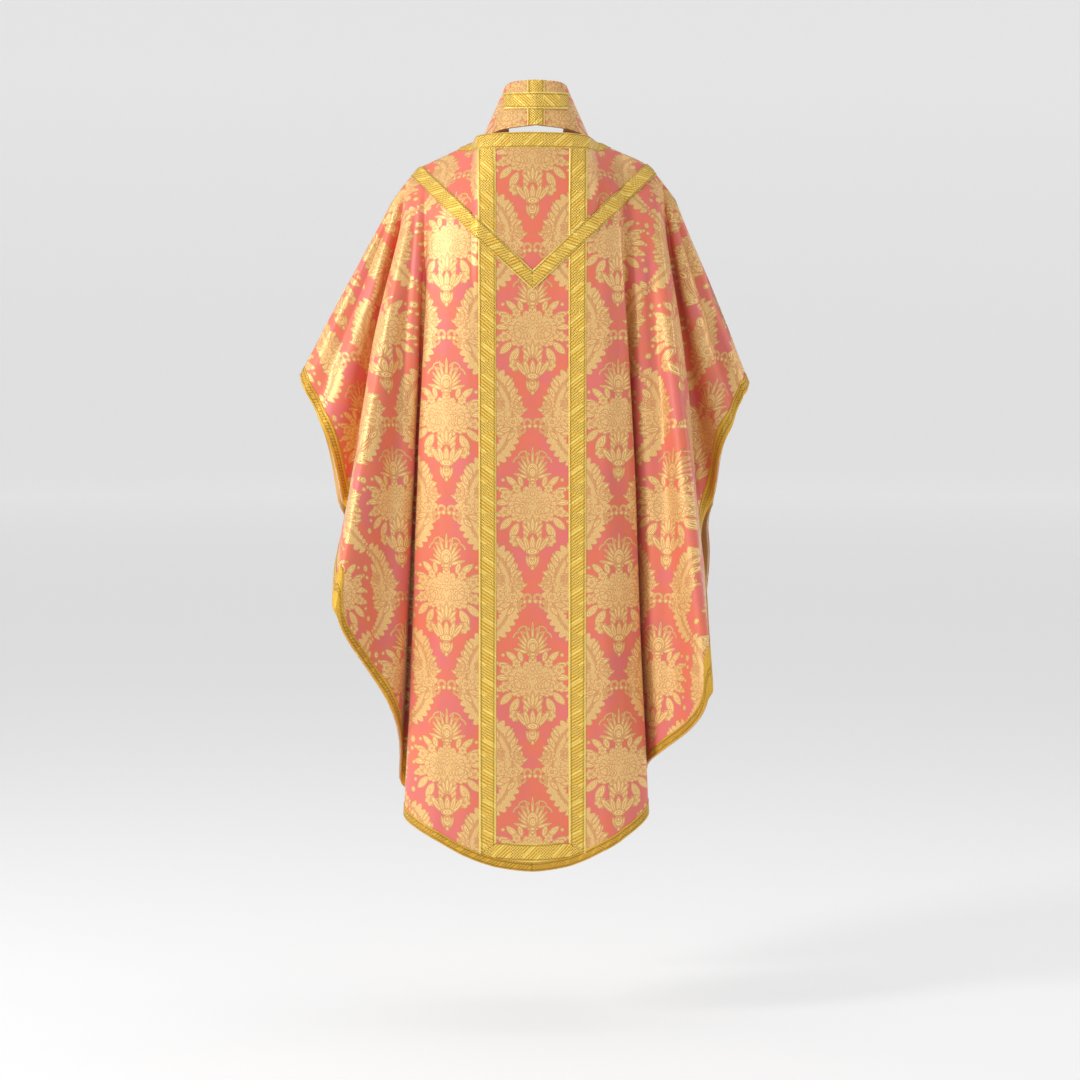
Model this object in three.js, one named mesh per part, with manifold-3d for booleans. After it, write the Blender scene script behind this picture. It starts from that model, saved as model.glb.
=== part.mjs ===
// Semi-Gothic chasuble with its matching stole, as it hangs on the wearer's shoulders.
// Millimetres, +Z up. The back of the vestment faces -Y and the wearer's left side is at -X.
// The origin is at the middle of the neck opening, at the height of the back neckline.
//
// The cloth is one ruled sheet for the back and one for the front. A ruling runs from the neckline or
// the arm line (shoulder seam and top of the sleeve wing) down to the hem. Folds open out of the
// shoulder like cones, so their depth grows along the rulings. Every layer (lining, interlining, outer
// cloth, braid) is the same sheet, moved out along its normals, so the layers stay parallel.
import * as THREE from 'three';
import { mergeVertices } from 'three/addons/utils/BufferGeometryUtils.js';
import Module from 'manifold-3d';

const wasm = await Module();
wasm.setup();

// ---- driving dimensions -------------------------------------------------------------------------
const CLEARANCE = 0.3;             // gap between touching pieces
const LINING = 0.8;                // thickness of each layer
const INTERLINING = 1.0;
const OUTER_CLOTH = 1.2;
const BRAID = 1.0;
const FRINGE = 2.0;

const BACK_LENGTH = 1287;          // neck level down to the lowest point of the hem
const FRONT_LENGTH = 1255;
const HEM_CURVE = { left: 0.0019, right: 0.0023 };   // rise of the hem per mm squared from the centre
const BACK_NECK = { depth: 92, height: 4 };          // middle of the back neckline
const FRONT_NECK = { depth: 100, height: -55 };
const SHOULDER_ROUNDING = 70;      // distance over which the cloth turns from the shoulder to the back

const COLUMN_INNER = 63;           // inner edge of a column braid from the centre line
const COLUMN_WIDTH = 31;
const COLUMN_OUTER = COLUMN_INNER + COLUMN_WIDTH;
const V_DEPTH = 271;               // lower point of the V below the neck level
const V_HEIGHT = 35;               // height of the V braid at its point
const V_SLOPE = 0.935;             // rise of the V per mm away from the centre
const NECK_BRAID_WIDTH = 30;
const HEM_BRAID_WIDTH = 16;
const CROSS_BAND_HEIGHT = 34;      // from the top of the cross band to the middle of the hem
const CROSS_BAND_MITRE = 20;       // drop of the cross band's top edge across a column

const STOLE_SHIFT = 6;             // the stole sits a little towards the wearer's right
const STOLE_LENGTH = 1000;         // neck level down to the end of the cloth
const STOLE_FRINGE_LENGTH = 60;
const STOLE_BRAID_WIDTH = 33;
const STOLE_CROSS = { width: 30, span: 108, height: 72 };  // braid width, cross bar length and height
const SEAT_CLEARANCE = 0.6;        // gap left between the stole and the chasuble that rests on it
const SEAT_DROP = 16;               // the stole is shaped this much too low, then raised to its seat

// ---- shape of the folds ---------------------------------------------------------------------------
// Each half of a sheet has the rulings named here, from the neck point out to the arm line.
//   top     distance from the centre line where the ruling leaves the arm line
//   hem     where it meets the hem: [distance from the centre line, share of the way down from the
//           wing edge's height to the lowest point of the hem]
//   shoulder  depth that the cloth takes just below the shoulder
//   flare   further depth gained on the way down to the hem
const NECK_POINT = { left: [COLUMN_OUTER + 12, -13], right: [COLUMN_OUTER + 22, -13] };
const ARM_LINE = {
  left: [NECK_POINT.left, [200, -57], [228, -88], [248, -116]],
  right: [NECK_POINT.right, [203, -51], [230, -84], [251, -112]],
};
// Lowest corner of the sleeve wing, where the hems of front and back meet.
const WING_EDGE = { left: [411, -425], right: [381, -438] };
const BACK_FOLDS = {
  left: [
    { name: 'lobe', top: 140, hem: [165, 0.941], shoulder: 112, flare: 46 },
    { name: 'lobe corner', top: 168, hem: [212, 0.903], shoulder: 100, flare: 12 },
    { name: 'inner valley', top: 184, hem: [229, 0.850], shoulder: 85, flare: -20 },
    { name: 'inner slope', top: 196, hem: [262, 0.650], shoulder: 75, flare: 55 },
    { name: 'ridge', top: 207, hem: [341, 0.476], shoulder: 55, flare: 130 },
    { name: 'outer slope', top: 215, hem: [329, 0.336], shoulder: 30, flare: 60 },
    { name: 'outer valley', top: 222, hem: [340, 0.261], shoulder: 12, flare: 12 },
    { name: 'wing', top: 232, hem: [372, 0.104], shoulder: 12, flare: 20 },
    { name: 'wing nose', top: 243, hem: [404, 0.026], shoulder: 10, flare: 4 },
  ],
  right: [
    { name: 'lobe', top: 133, hem: [158, 0.933], shoulder: 112, flare: 46 },
    { name: 'lobe corner', top: 144, hem: [193, 0.886], shoulder: 102, flare: 20 },
    { name: 'inner valley', top: 156, hem: [196, 0.817], shoulder: 90, flare: -20 },
    { name: 'inner slope', top: 186, hem: [240, 0.751], shoulder: 80, flare: 45 },
    { name: 'ridge', top: 212, hem: [308, 0.633], shoulder: 55, flare: 132 },
    { name: 'outer slope', top: 221, hem: [293, 0.403], shoulder: 30, flare: 55 },
    { name: 'outer valley', top: 229, hem: [322, 0.244], shoulder: 12, flare: 12 },
    { name: 'wing', top: 234, hem: [347, 0.102], shoulder: 17, flare: 14 },
    { name: 'wing nose', top: 242, hem: [374, 0.024], shoulder: 15, flare: -1 },
  ],
};
const FRONT_FOLDS = {
  left: [
    { name: 'lobe', top: 140, hem: [158, 0.943], shoulder: 116, flare: 40 },
    { name: 'lobe corner', top: 166, hem: [204, 0.892], shoulder: 110, flare: 12 },
    { name: 'inner valley', top: 182, hem: [218, 0.825], shoulder: 98, flare: -14 },
    { name: 'inner slope', top: 196, hem: [266, 0.675], shoulder: 82, flare: 46 },
    { name: 'ridge', top: 208, hem: [326, 0.534], shoulder: 58, flare: 112 },
    { name: 'outer slope', top: 216, hem: [332, 0.386], shoulder: 32, flare: 56 },
    { name: 'outer valley', top: 224, hem: [348, 0.277], shoulder: 14, flare: 16 },
    { name: 'wing', top: 234, hem: [378, 0.114], shoulder: 14, flare: 22 },
    { name: 'wing nose', top: 242, hem: [404, 0.030], shoulder: 10, flare: 5 },
  ],
  right: [
    { name: 'lobe', top: 137, hem: [156, 0.940], shoulder: 116, flare: 38 },
    { name: 'lobe corner', top: 154, hem: [196, 0.884], shoulder: 110, flare: 14 },
    { name: 'inner valley', top: 170, hem: [208, 0.816], shoulder: 99, flare: -16 },
    { name: 'inner slope', top: 191, hem: [252, 0.694], shoulder: 84, flare: 42 },
    { name: 'ridge', top: 212, hem: [306, 0.572], shoulder: 58, flare: 118 },
    { name: 'outer slope', top: 221, hem: [313, 0.400], shoulder: 34, flare: 50 },
    { name: 'outer valley', top: 229, hem: [324, 0.266], shoulder: 14, flare: 16 },
    { name: 'wing', top: 234, hem: [347, 0.106], shoulder: 17, flare: 14 },
    { name: 'wing nose', top: 242, hem: [374, 0.024], shoulder: 15, flare: -1 },
  ],
};
// Plan of the neckline: depth as a share of the depth at the middle, for the rulings of the column
// edges, and height as a share of the way from the middle to the neck point.
const NECK_PLAN = [[0, 1, 0], [1, 0.93, 0.12], [2, 0.86, 0.2], [3, 0.74, 0.34]];
const NECK_RULING = 4;             // number of the ruling at the neck point
const NECK_SHOULDER = { back: 120, front: 122 };     // shoulder depth and flare of the centre rulings
const CENTRE_FLARE = { back: 50, front: 44 };
const LAST_RULING = 14;
const NECK_SPREAD = 8;             // how much further out the neck point's ruling is at the hem

// Edges of the stole, from the middle of the neck over the shoulder and down the front.
const STOLE_INNER = [
  [0, -45, 110], [34, -34, 108], [53, -10, 99], [55, 20, 73], [48, 50, 24],
  [40, 70, -50], [36, 80, -150], [34, 84, -300], [34, 86, -650], [34, 86, -STOLE_LENGTH],
];
const STOLE_OUTER = [
  [0, -82, 29], [60, -67, 21], [94, -22, 4], [107, 18, -27], [119, 44, -66],
  [130, 66, -125], [134, 78, -210], [136, 84, -340], [137, 86, -670], [138, 86, -STOLE_LENGTH],
];

// ---- fineness of the solids -----------------------------------------------------------------------
const CLOTH_ROWS = 9;
const ROW_GRADING = 1.6;           // rows crowd towards the shoulder, where the cloth bends most
const STOLE_STEPS = 20;
const STOLE_ACROSS = 4;
const CROSS_BAR_ACROSS = 0.25;     // place across the stole where the cross bar ends
const SEAT_LATTICE = 8;            // points along a face's edge where the stole's seat is measured

// ---- small helpers --------------------------------------------------------------------------------
const span = (count) => Array.from({ length: count + 1 }, (_, index) => index / count);
const range = (from, to) => Array.from({ length: to - from + 1 }, (_, index) => from + index);
const clamp = (value, low, high) => Math.min(high, Math.max(low, value));

// Smooth curve through values at whole numbers that never overshoots them.
function smoothCurve(values) {
  const slopes = values.map((value, index) => {
    if (index === 0 || index === values.length - 1) return 0;
    const before = value - values[index - 1];
    const after = values[index + 1] - value;
    return before * after <= 0 ? 0 : (2 * before * after) / (before + after);
  });
  slopes[0] = values[1] - values[0];
  slopes[values.length - 1] = values[values.length - 1] - values[values.length - 2];
  return (position) => {
    const index = clamp(Math.floor(position), 0, values.length - 2);
    const t = position - index;
    const rise = values[index + 1] - values[index];
    return values[index] + t * slopes[index]
      + t * t * (3 * rise - 2 * slopes[index] - slopes[index + 1])
      + t * t * t * (slopes[index] + slopes[index + 1] - 2 * rise);
  };
}

// Height of the arm line at a distance from the centre line.
function armHeight(side, distance) {
  const points = ARM_LINE[side];
  const index = clamp(points.findIndex(([x]) => x >= distance), 1, points.length - 1);
  const [x0, z0] = points[index - 1];
  const [x1, z1] = points[index];
  return z0 + ((z1 - z0) * (distance - x0)) / (x1 - x0);
}

// ---- the cloth sheets -----------------------------------------------------------------------------
// Rulings of one half of a sheet, from the centre line out.
function halfRulings(face, side) {
  const back = face === 'back';
  const length = back ? BACK_LENGTH : FRONT_LENGTH;
  const neck = back ? BACK_NECK : FRONT_NECK;
  const folds = (back ? BACK_FOLDS : FRONT_FOLDS)[side];
  const [neckX, neckZ] = ARM_LINE[side][0];
  const hemAt = (x) => [x, HEM_CURVE[side] * x * x - length];
  const columnEdge = [0, COLUMN_INNER, COLUMN_INNER + COLUMN_WIDTH / 2, COLUMN_OUTER];
  const centre = NECK_PLAN.map(([number, depth, drop]) => ({
    top: [columnEdge[number], neck.height + drop * (neckZ - neck.height)],
    topDepth: neck.depth * depth,
    hem: hemAt(columnEdge[number]),
    shoulder: NECK_SHOULDER[face],
    flare: CENTRE_FLARE[face],
  }));
  const neckPoint = {
    top: [neckX, neckZ],
    topDepth: 0,
    hem: hemAt(neckX + NECK_SPREAD),
    shoulder: NECK_SHOULDER[face],
    flare: CENTRE_FLARE[face],
  };
  const edge = WING_EDGE[side];
  const outer = folds.map((fold) => ({
    top: [fold.top, armHeight(side, fold.top)],
    topDepth: 0,
    hem: [fold.hem[0], edge[1] - fold.hem[1] * (length + edge[1])],
    shoulder: fold.shoulder,
    flare: fold.flare,
  }));
  const wingEdge = {
    top: ARM_LINE[side][ARM_LINE[side].length - 1],
    topDepth: 0,
    hem: edge,
    shoulder: 0,
    flare: 0,
  };
  return [...centre, neckPoint, ...outer, wingEdge];
}

// A sheet turns (ruling number, share of the way down) into a point and an outward normal. Ruling
// numbers run from -14 at the left arm line over 0 at the centre to 14 at the right arm line.
function makeSheet(face) {
  const outward = face === 'back' ? -1 : 1;
  const left = halfRulings(face, 'left').slice(1).reverse();
  const right = halfRulings(face, 'right');
  const rulings = [...left, ...right];
  const signed = (pick) => smoothCurve(rulings.map((r, index) => (index < left.length ? -1 : 1) * pick(r)));
  const plain = (pick) => smoothCurve(rulings.map(pick));
  const topX = signed((r) => r.top[0]);
  const topZ = plain((r) => r.top[1]);
  const hemX = signed((r) => r.hem[0]);
  const hemZ = plain((r) => r.hem[1]);
  const topDepth = plain((r) => r.topDepth);
  const shoulder = plain((r) => r.shoulder);
  const flare = plain((r) => r.flare);

  const point = (ruling, share) => {
    const at = ruling + LAST_RULING;
    const drop = share * Math.hypot(hemX(at) - topX(at), hemZ(at) - topZ(at));
    const turned = 1 - Math.exp(-drop / SHOULDER_ROUNDING);
    const depth = topDepth(at) + (shoulder(at) - topDepth(at)) * turned + flare(at) * share;
    return new THREE.Vector3(
      topX(at) + share * (hemX(at) - topX(at)),
      outward * depth,
      topZ(at) + share * (hemZ(at) - topZ(at)),
    );
  };
  const onSeam = (ruling, share) => (
    Math.abs(ruling) >= LAST_RULING || (share <= 0 && Math.abs(ruling) >= NECK_RULING)
  );
  const across = (ruling, share) => {
    const step = 0.02;
    const from = Math.max(ruling - step, -LAST_RULING);
    const to = Math.min(ruling + step, LAST_RULING);
    return point(to, share).sub(point(from, share));
  };
  const along = (ruling, share) => {
    const step = 0.002;
    const from = clamp(share, 0, 1 - step);
    return point(ruling, from + step).sub(point(ruling, from));
  };
  // On the seam the layers of front and back stand square to it, so their edges meet face to face.
  const seamNormal = (ruling, share) => {
    const square = (direction) => new THREE.Vector3(-direction.z, 0, direction.x).normalize();
    const result = new THREE.Vector3();
    if (Math.abs(ruling) >= LAST_RULING) {
      const side = square(along(ruling, share));
      result.addScaledVector(side, Math.sign(side.x * ruling));
    }
    if (share <= 0) result.add(square(across(ruling, share)));
    return result.normalize();
  };
  const normal = (ruling, share) => {
    if (onSeam(ruling, share)) return seamNormal(ruling, share);
    return across(ruling, share).cross(along(ruling, share)).multiplyScalar(outward).normalize();
  };
  // Front and back keep half the clearance each at the seam they share.
  const seated = (ruling, share) => {
    const result = point(ruling, share);
    if (onSeam(ruling, share)) result.y = (outward * CLEARANCE) / 2;
    return result;
  };
  const length = (ruling) => point(ruling, 0).distanceTo(point(ruling, 1));
  // Share of a ruling that a band of the given width takes at the hem, square to the hem.
  const hemShare = (ruling, width) => {
    const angle = across(ruling, 1).angleTo(along(ruling, 1));
    return width / (length(ruling) * Math.sin(angle));
  };
  // Share of a ruling at a distance down the cloth from its top.
  const shareAtDistance = (ruling, distance) => {
    const step = 0.0005;
    let share = 0;
    let covered = 0;
    while (covered < distance) {
      covered += point(ruling, share).distanceTo(point(ruling, share + step));
      share += step;
    }
    return share;
  };
  const cut = face === 'back' ? BACK_LENGTH : FRONT_LENGTH;
  return { face, cut, point, seated, normal, hemShare, shareAtDistance };
}

// ---- solids ---------------------------------------------------------------------------------------
const BEYOND = 400;                // further from the middle than any cloth, front or back

// Closed solid between two grids of points, inner[i][j] and outer[i][j]. Each cell is split along one
// of its diagonals: the right half of a sheet mirrors the left half, so layers stay parallel and no
// face of a wing lies flat in the plane of the seam.
function slab(inner, outer, onRight) {
  const columns = inner.length;
  const rows = inner[0].length;
  const positions = [...inner.flat(), ...outer.flat()].flatMap((p) => [p.x, p.y, p.z]);
  const at = (layer, i, j) => layer * columns * rows + i * rows + j;
  const indices = [];
  const quad = (a, b, c, d) => indices.push(a, b, c, a, c, d);
  const cell = (mirrored, a, b, c, d) => (mirrored ? quad(b, c, d, a) : quad(a, b, c, d));
  for (let i = 0; i < columns - 1; i += 1) {
    for (let j = 0; j < rows - 1; j += 1) {
      cell(onRight(i), at(1, i, j), at(1, i, j + 1), at(1, i + 1, j + 1), at(1, i + 1, j));
      cell(onRight(i), at(0, i, j), at(0, i + 1, j), at(0, i + 1, j + 1), at(0, i, j + 1));
    }
    quad(at(0, i, 0), at(1, i, 0), at(1, i + 1, 0), at(0, i + 1, 0));
    quad(at(0, i, rows - 1), at(0, i + 1, rows - 1), at(1, i + 1, rows - 1), at(1, i, rows - 1));
  }
  for (let j = 0; j < rows - 1; j += 1) {
    quad(at(0, 0, j), at(0, 0, j + 1), at(1, 0, j + 1), at(1, 0, j));
    quad(at(0, columns - 1, j), at(1, columns - 1, j), at(1, columns - 1, j + 1), at(0, columns - 1, j + 1));
  }
  if (signedVolume(positions, indices) < 0) indices.reverse();
  const geometry = new THREE.BufferGeometry();
  geometry.setAttribute('position', new THREE.Float32BufferAttribute(positions, 3));
  geometry.setIndex(indices);
  geometry.computeVertexNormals();
  return geometry;
}

function signedVolume(positions, indices) {
  const corner = (index) => new THREE.Vector3().fromArray(positions, index * 3);
  let volume = 0;
  for (let i = 0; i < indices.length; i += 3) {
    volume += corner(indices[i]).dot(corner(indices[i + 1]).cross(corner(indices[i + 2]))) / 6;
  }
  return volume;
}

// Moves the edge points of a grid inward by a distance, on the edges that are named.
function trim(grid, edges) {
  const last = grid.length - 1;
  const end = grid[0].length - 1;
  const pull = (point, target, distance) => {
    point.addScaledVector(target.clone().sub(point).normalize(), distance);
  };
  if (edges.start) grid[0].forEach((point, j) => pull(point, grid[1][j], edges.start));
  if (edges.finish) grid[last].forEach((point, j) => pull(point, grid[last - 1][j], edges.finish));
  if (edges.top) grid.forEach((column) => pull(column[0], column[1], edges.top));
  if (edges.hem) grid.forEach((column) => pull(column[end], column[end - 1], edges.hem));
}

// Piece of cloth on a sheet: `shares` gives the shares down each ruling, `from` and `to` the distances
// out of the sheet between which the layer lies.
function layer(sheet, rulings, shares, from, to, edges = {}) {
  const offset = (distance) => {
    const grid = rulings.map((ruling) => shares(ruling).map((share) => (
      sheet.seated(ruling, share).addScaledVector(sheet.normal(ruling, share), distance)
    )));
    trim(grid, edges);
    return grid;
  };
  return slab(offset(from), offset(to), (index) => rulings[index] + rulings[index + 1] > 0);
}

// Keeps the part of a solid whose [x, z] place lies inside an outline.
function cutByOutline(geometry, outline) {
  const shape = new THREE.Shape(outline.map(([x, z]) => new THREE.Vector2(x, z)));
  const prism = new THREE.ExtrudeGeometry(shape, { depth: 2 * BEYOND, bevelEnabled: false });
  prism.translate(0, 0, -BEYOND);
  prism.rotateX(Math.PI / 2);
  const { vertProperties, triVerts } = solid(geometry).intersect(solid(prism)).getMesh();
  const result = new THREE.BufferGeometry();
  result.setAttribute('position', new THREE.BufferAttribute(vertProperties, 3));
  result.setIndex(new THREE.BufferAttribute(triVerts, 1));
  result.computeVertexNormals();
  return result;
}

function solid(geometry) {
  const bare = geometry.clone();
  bare.deleteAttribute('normal');
  bare.deleteAttribute('uv');
  const merged = mergeVertices(bare);
  return new wasm.Manifold(new wasm.Mesh({
    numProp: 3,
    vertProperties: merged.attributes.position.array,
    triVerts: new Uint32Array(merged.index.array),
  }));
}

function piece(name, geometry, look) {
  const material = new THREE.MeshStandardMaterial(look);
  const mesh = new THREE.Mesh(geometry, material);
  mesh.name = name;
  return mesh;
}

const LOOKS = {
  brocade: { color: 0xe6a585, roughness: 0.45, metalness: 0.1 },
  braid: { color: 0xd9a92b, roughness: 0.4, metalness: 0.6 },
  lining: { color: 0xc98d3c, roughness: 0.6, metalness: 0 },
  interlining: { color: 0xe8e2d2, roughness: 0.9, metalness: 0 },
  fringe: { color: 0xd2a02a, roughness: 0.5, metalness: 0.4 },
};

// Heights of the layers above the sheet.
const INTERLINING_AT = LINING + CLEARANCE;
const OUTER_AT = INTERLINING_AT + INTERLINING + CLEARANCE;
const BRAID_AT = OUTER_AT + OUTER_CLOTH + CLEARANCE;
const UPPER_BRAID_AT = BRAID_AT + BRAID + CLEARANCE;

// ---- chasuble -------------------------------------------------------------------------------------
const SEAM_RULING = 2;             // the outer cloth is seamed under the middle of each column braid
const BROAD_RULING = 9;            // the broad braids lie within this ruling
const ABOVE = 100;                 // a height above all of the chasuble
const HALF_GAP = CLEARANCE / 2;

// Shares down a ruling where every layer has its rows; the last two enclose the hem galloon.
function clothShares(sheet) {
  return (ruling) => {
    const end = 1 - sheet.hemShare(ruling, HEM_BRAID_WIDTH);
    return [...span(CLOTH_ROWS).map((share) => end * share ** ROW_GRADING), 1];
  };
}

function clothLayers(sheet) {
  const shares = clothShares(sheet);
  const whole = range(-LAST_RULING, LAST_RULING);
  const outer = [
    ['left', range(-LAST_RULING, -SEAM_RULING), { finish: HALF_GAP }],
    ['centre', range(-SEAM_RULING, SEAM_RULING), { start: HALF_GAP, finish: HALF_GAP }],
    ['right', range(SEAM_RULING, LAST_RULING), { start: HALF_GAP }],
  ];
  return [
    ...outer.map(([part, rulings, edges]) => piece(
      `${sheet.face}_brocade_${part}`,
      layer(sheet, rulings, shares, OUTER_AT, OUTER_AT + OUTER_CLOTH, edges),
      LOOKS.brocade,
    )),
    piece(
      `${sheet.face}_interlining`,
      layer(sheet, whole, shares, INTERLINING_AT, INTERLINING_AT + INTERLINING),
      LOOKS.interlining,
    ),
    piece(`${sheet.face}_lining`, layer(sheet, whole, shares, 0, LINING), LOOKS.lining),
  ];
}

// Narrow galloon along the hem; its halves meet at the centre line.
function hemBraids(sheet) {
  const shares = (ruling) => clothShares(sheet)(ruling).slice(-2);
  const halves = [
    ['left', range(-LAST_RULING, 0), { finish: HALF_GAP }],
    ['right', range(0, LAST_RULING), { start: HALF_GAP }],
  ];
  return halves.map(([side, rulings, edges]) => piece(
    `${sheet.face}_hem_galloon_${side}`,
    layer(sheet, rulings, shares, BRAID_AT, BRAID_AT + BRAID, edges),
    LOOKS.braid,
  ));
}

// Broad braids are cut out of a layer that covers the middle of the sheet, by their outline as it is
// seen from the front or the back: [distance to the right, height] corners.
function broadBraid(name, sheet, height, outline) {
  const shares = (ruling) => clothShares(sheet)(ruling).slice(0, -1);
  const rulings = range(-BROAD_RULING, BROAD_RULING);
  const blank = layer(sheet, rulings, shares, height, height + BRAID, { hem: CLEARANCE });
  return piece(name, cutByOutline(blank, outline), LOOKS.braid);
}

// Lower edge of the neck braid at a ruling, one braid width down the cloth from the neckline.
const underNeckBraid = (sheet, ruling) => {
  const { x, z } = sheet.point(ruling, sheet.shareAtDistance(ruling, NECK_BRAID_WIDTH));
  return [x, z];
};

// Braid along the neckline, cut off along the shoulder seams.
function neckBraid(sheet) {
  const reach = (sign) => {
    const side = sign < 0 ? 'left' : 'right';
    const out = ARM_LINE[side][0][0] + NECK_BRAID_WIDTH * 0.8;
    return [[sign * out, armHeight(side, out)], [sign * out, ABOVE]];
  };
  const lower = range(-NECK_RULING, NECK_RULING).map((ruling) => underNeckBraid(sheet, ruling));
  const outline = [...reach(-1).reverse(), ...lower, ...reach(1)];
  return broadBraid(`neck_galloon_${sheet.face}`, sheet, BRAID_AT, outline);
}

// The cross band's top edge is level between the columns and falls outward across them in a mitre.
const crossBandCorners = (sheet) => {
  const top = HEM_BRAID_WIDTH + CROSS_BAND_HEIGHT - sheet.cut;
  return [[COLUMN_INNER, top], [COLUMN_OUTER, top - CROSS_BAND_MITRE]];
};

function columnBraids(sheet) {
  const [inner, outer] = crossBandCorners(sheet);
  return [['left', -1], ['right', 1]].map(([side, sign]) => {
    const top = [1, 2, 3].map((ruling) => underNeckBraid(sheet, sign * ruling));
    const outline = [
      ...top.map(([x, z]) => [x, z - CLEARANCE]),
      [sign * outer[0], outer[1] + CLEARANCE],
      [sign * inner[0], inner[1] + CLEARANCE],
    ];
    return broadBraid(`${sheet.face}_column_galloon_${side}`, sheet, BRAID_AT, outline);
  });
}

function crossBand(sheet) {
  const [inner, outer] = crossBandCorners(sheet);
  const mirrored = ([x, z]) => [-x, z];
  const outline = [
    inner, outer, [outer[0], -sheet.cut], [-outer[0], -sheet.cut], mirrored(outer), mirrored(inner),
  ];
  return broadBraid(`${sheet.face}_hem_crossband`, sheet, BRAID_AT, outline);
}

// The two arms of the V lie over the columns and meet in a mitre on the centre line.
function vBraids(sheet) {
  return [['left', -1], ['right', 1]].map(([side, sign]) => {
    const out = ARM_LINE[side][1][0] + V_HEIGHT;
    const lift = V_SLOPE * out;
    const outline = [
      [sign * HALF_GAP, -V_DEPTH],
      [sign * out, lift - V_DEPTH],
      [sign * out, lift + V_HEIGHT - V_DEPTH],
      [sign * HALF_GAP, V_HEIGHT - V_DEPTH],
    ];
    return broadBraid(`${sheet.face}_v_galloon_${side}`, sheet, UPPER_BRAID_AT, outline);
  });
}

function chasuble() {
  const group = new THREE.Group();
  ['back', 'front'].forEach((face) => {
    const sheet = makeSheet(face);
    group.add(
      ...clothLayers(sheet),
      ...hemBraids(sheet),
      neckBraid(sheet),
      ...columnBraids(sheet),
      ...vBraids(sheet),
      crossBand(sheet),
    );
  });
  return group;
}

// ---- stole ----------------------------------------------------------------------------------------
// The stole as one strip: `way` runs from -1 at the left end over 0 at the middle of the neck to 1 at
// the right end, and `across` from the inner to the outer edge.
const edgeCurves = (points) => [0, 1, 2].map((axis) => smoothCurve(points.map((point) => point[axis])));
const innerEdge = edgeCurves(STOLE_INNER);
const outerEdge = edgeCurves(STOLE_OUTER);
const STOLE_SECTIONS = STOLE_INNER.length - 1;

function stolePoint(way, across) {
  const place = Math.abs(way) * STOLE_SECTIONS;
  const [x, y, z] = innerEdge.map((curve, axis) => (
    curve(place) * (1 - across) + outerEdge[axis](place) * across
  ));
  return new THREE.Vector3(Math.sign(way) * x + STOLE_SHIFT, y, z - SEAT_DROP);
}

function stoleNormal(way, across) {
  const step = 0.001;
  const middle = clamp(way, step - 1, 1 - step);
  const along = stolePoint(middle + step, across).sub(stolePoint(middle - step, across));
  const sideways = stolePoint(way, 1).sub(stolePoint(way, 0));
  return sideways.cross(along).normalize();
}

function strip(ways, from, to, edges = {}) {
  const offset = (distance) => {
    const grid = ways.map((way) => span(STOLE_ACROSS).map((across) => (
      stolePoint(way, across).addScaledVector(stoleNormal(way, across), distance)
    )));
    trim(grid, edges);
    return grid;
  };
  return slab(offset(from), offset(to), (index) => ways[index] + ways[index + 1] > 0);
}

const STOLE_OUTER_AT = LINING + CLEARANCE;
const STOLE_BRAID_AT = STOLE_OUTER_AT + OUTER_CLOTH + CLEARANCE;

// Way to the upper edge of the end galloon, on the straight hanging part of the stole.
function endBraidWay() {
  const above = STOLE_INNER[STOLE_SECTIONS - 1][2];
  const share = 1 - STOLE_BRAID_WIDTH / (above + STOLE_LENGTH);
  return (STOLE_SECTIONS - 1 + share) / STOLE_SECTIONS;
}

function stoleHalf(side, sign) {
  const ways = [...span(STOLE_STEPS).slice(0, -1), endBraidWay(), 1].map((way) => sign * way);
  const seam = { start: HALF_GAP };
  const fringeGrid = (distance) => [0, 1].map((across) => [CLEARANCE, STOLE_FRINGE_LENGTH].map((drop) => (
    stolePoint(sign, across).add(new THREE.Vector3(0, distance, -drop))
  )));
  return [
    piece(
      `stole_brocade_${side}`,
      strip(ways, STOLE_OUTER_AT, STOLE_OUTER_AT + OUTER_CLOTH, seam),
      LOOKS.brocade,
    ),
    piece(`stole_lining_${side}`, strip(ways, 0, LINING, seam), LOOKS.lining),
    piece(
      `stole_end_galloon_${side}`,
      strip(ways.slice(-2), STOLE_BRAID_AT, STOLE_BRAID_AT + BRAID),
      LOOKS.braid,
    ),
    piece(`stole_fringe_${side}`, slab(fringeGrid(0), fringeGrid(FRINGE), () => sign > 0), LOOKS.fringe),
  ];
}

// Cross of braid at the middle of the neck, the bar over the upright.
function neckCross() {
  const barEnd = STOLE_SHIFT + STOLE_CROSS.span / 2;
  const under = range(1, STOLE_STEPS).find((step) => (
    stolePoint(step / STOLE_STEPS, CROSS_BAR_ACROSS).x > barEnd
  ));
  const ways = range(-under, under).map((step) => step / STOLE_STEPS);
  const blank = (height) => strip(ways, height, height + BRAID);
  const box = (halfWidth, low, high) => [
    [STOLE_SHIFT - halfWidth, low],
    [STOLE_SHIFT + halfWidth, low],
    [STOLE_SHIFT + halfWidth, high],
    [STOLE_SHIFT - halfWidth, high],
  ];
  const middle = STOLE_CROSS.height - SEAT_DROP;
  const half = STOLE_CROSS.width / 2;
  return [
    piece(
      'stole_neck_cross_upright',
      cutByOutline(blank(STOLE_BRAID_AT), box(half, -ABOVE, 2 * ABOVE)),
      LOOKS.braid,
    ),
    piece(
      'stole_neck_cross_bar',
      cutByOutline(
        blank(STOLE_BRAID_AT + BRAID + CLEARANCE),
        box(STOLE_CROSS.span / 2, middle - half, middle + half),
      ),
      LOOKS.braid,
    ),
  ];
}

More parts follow.
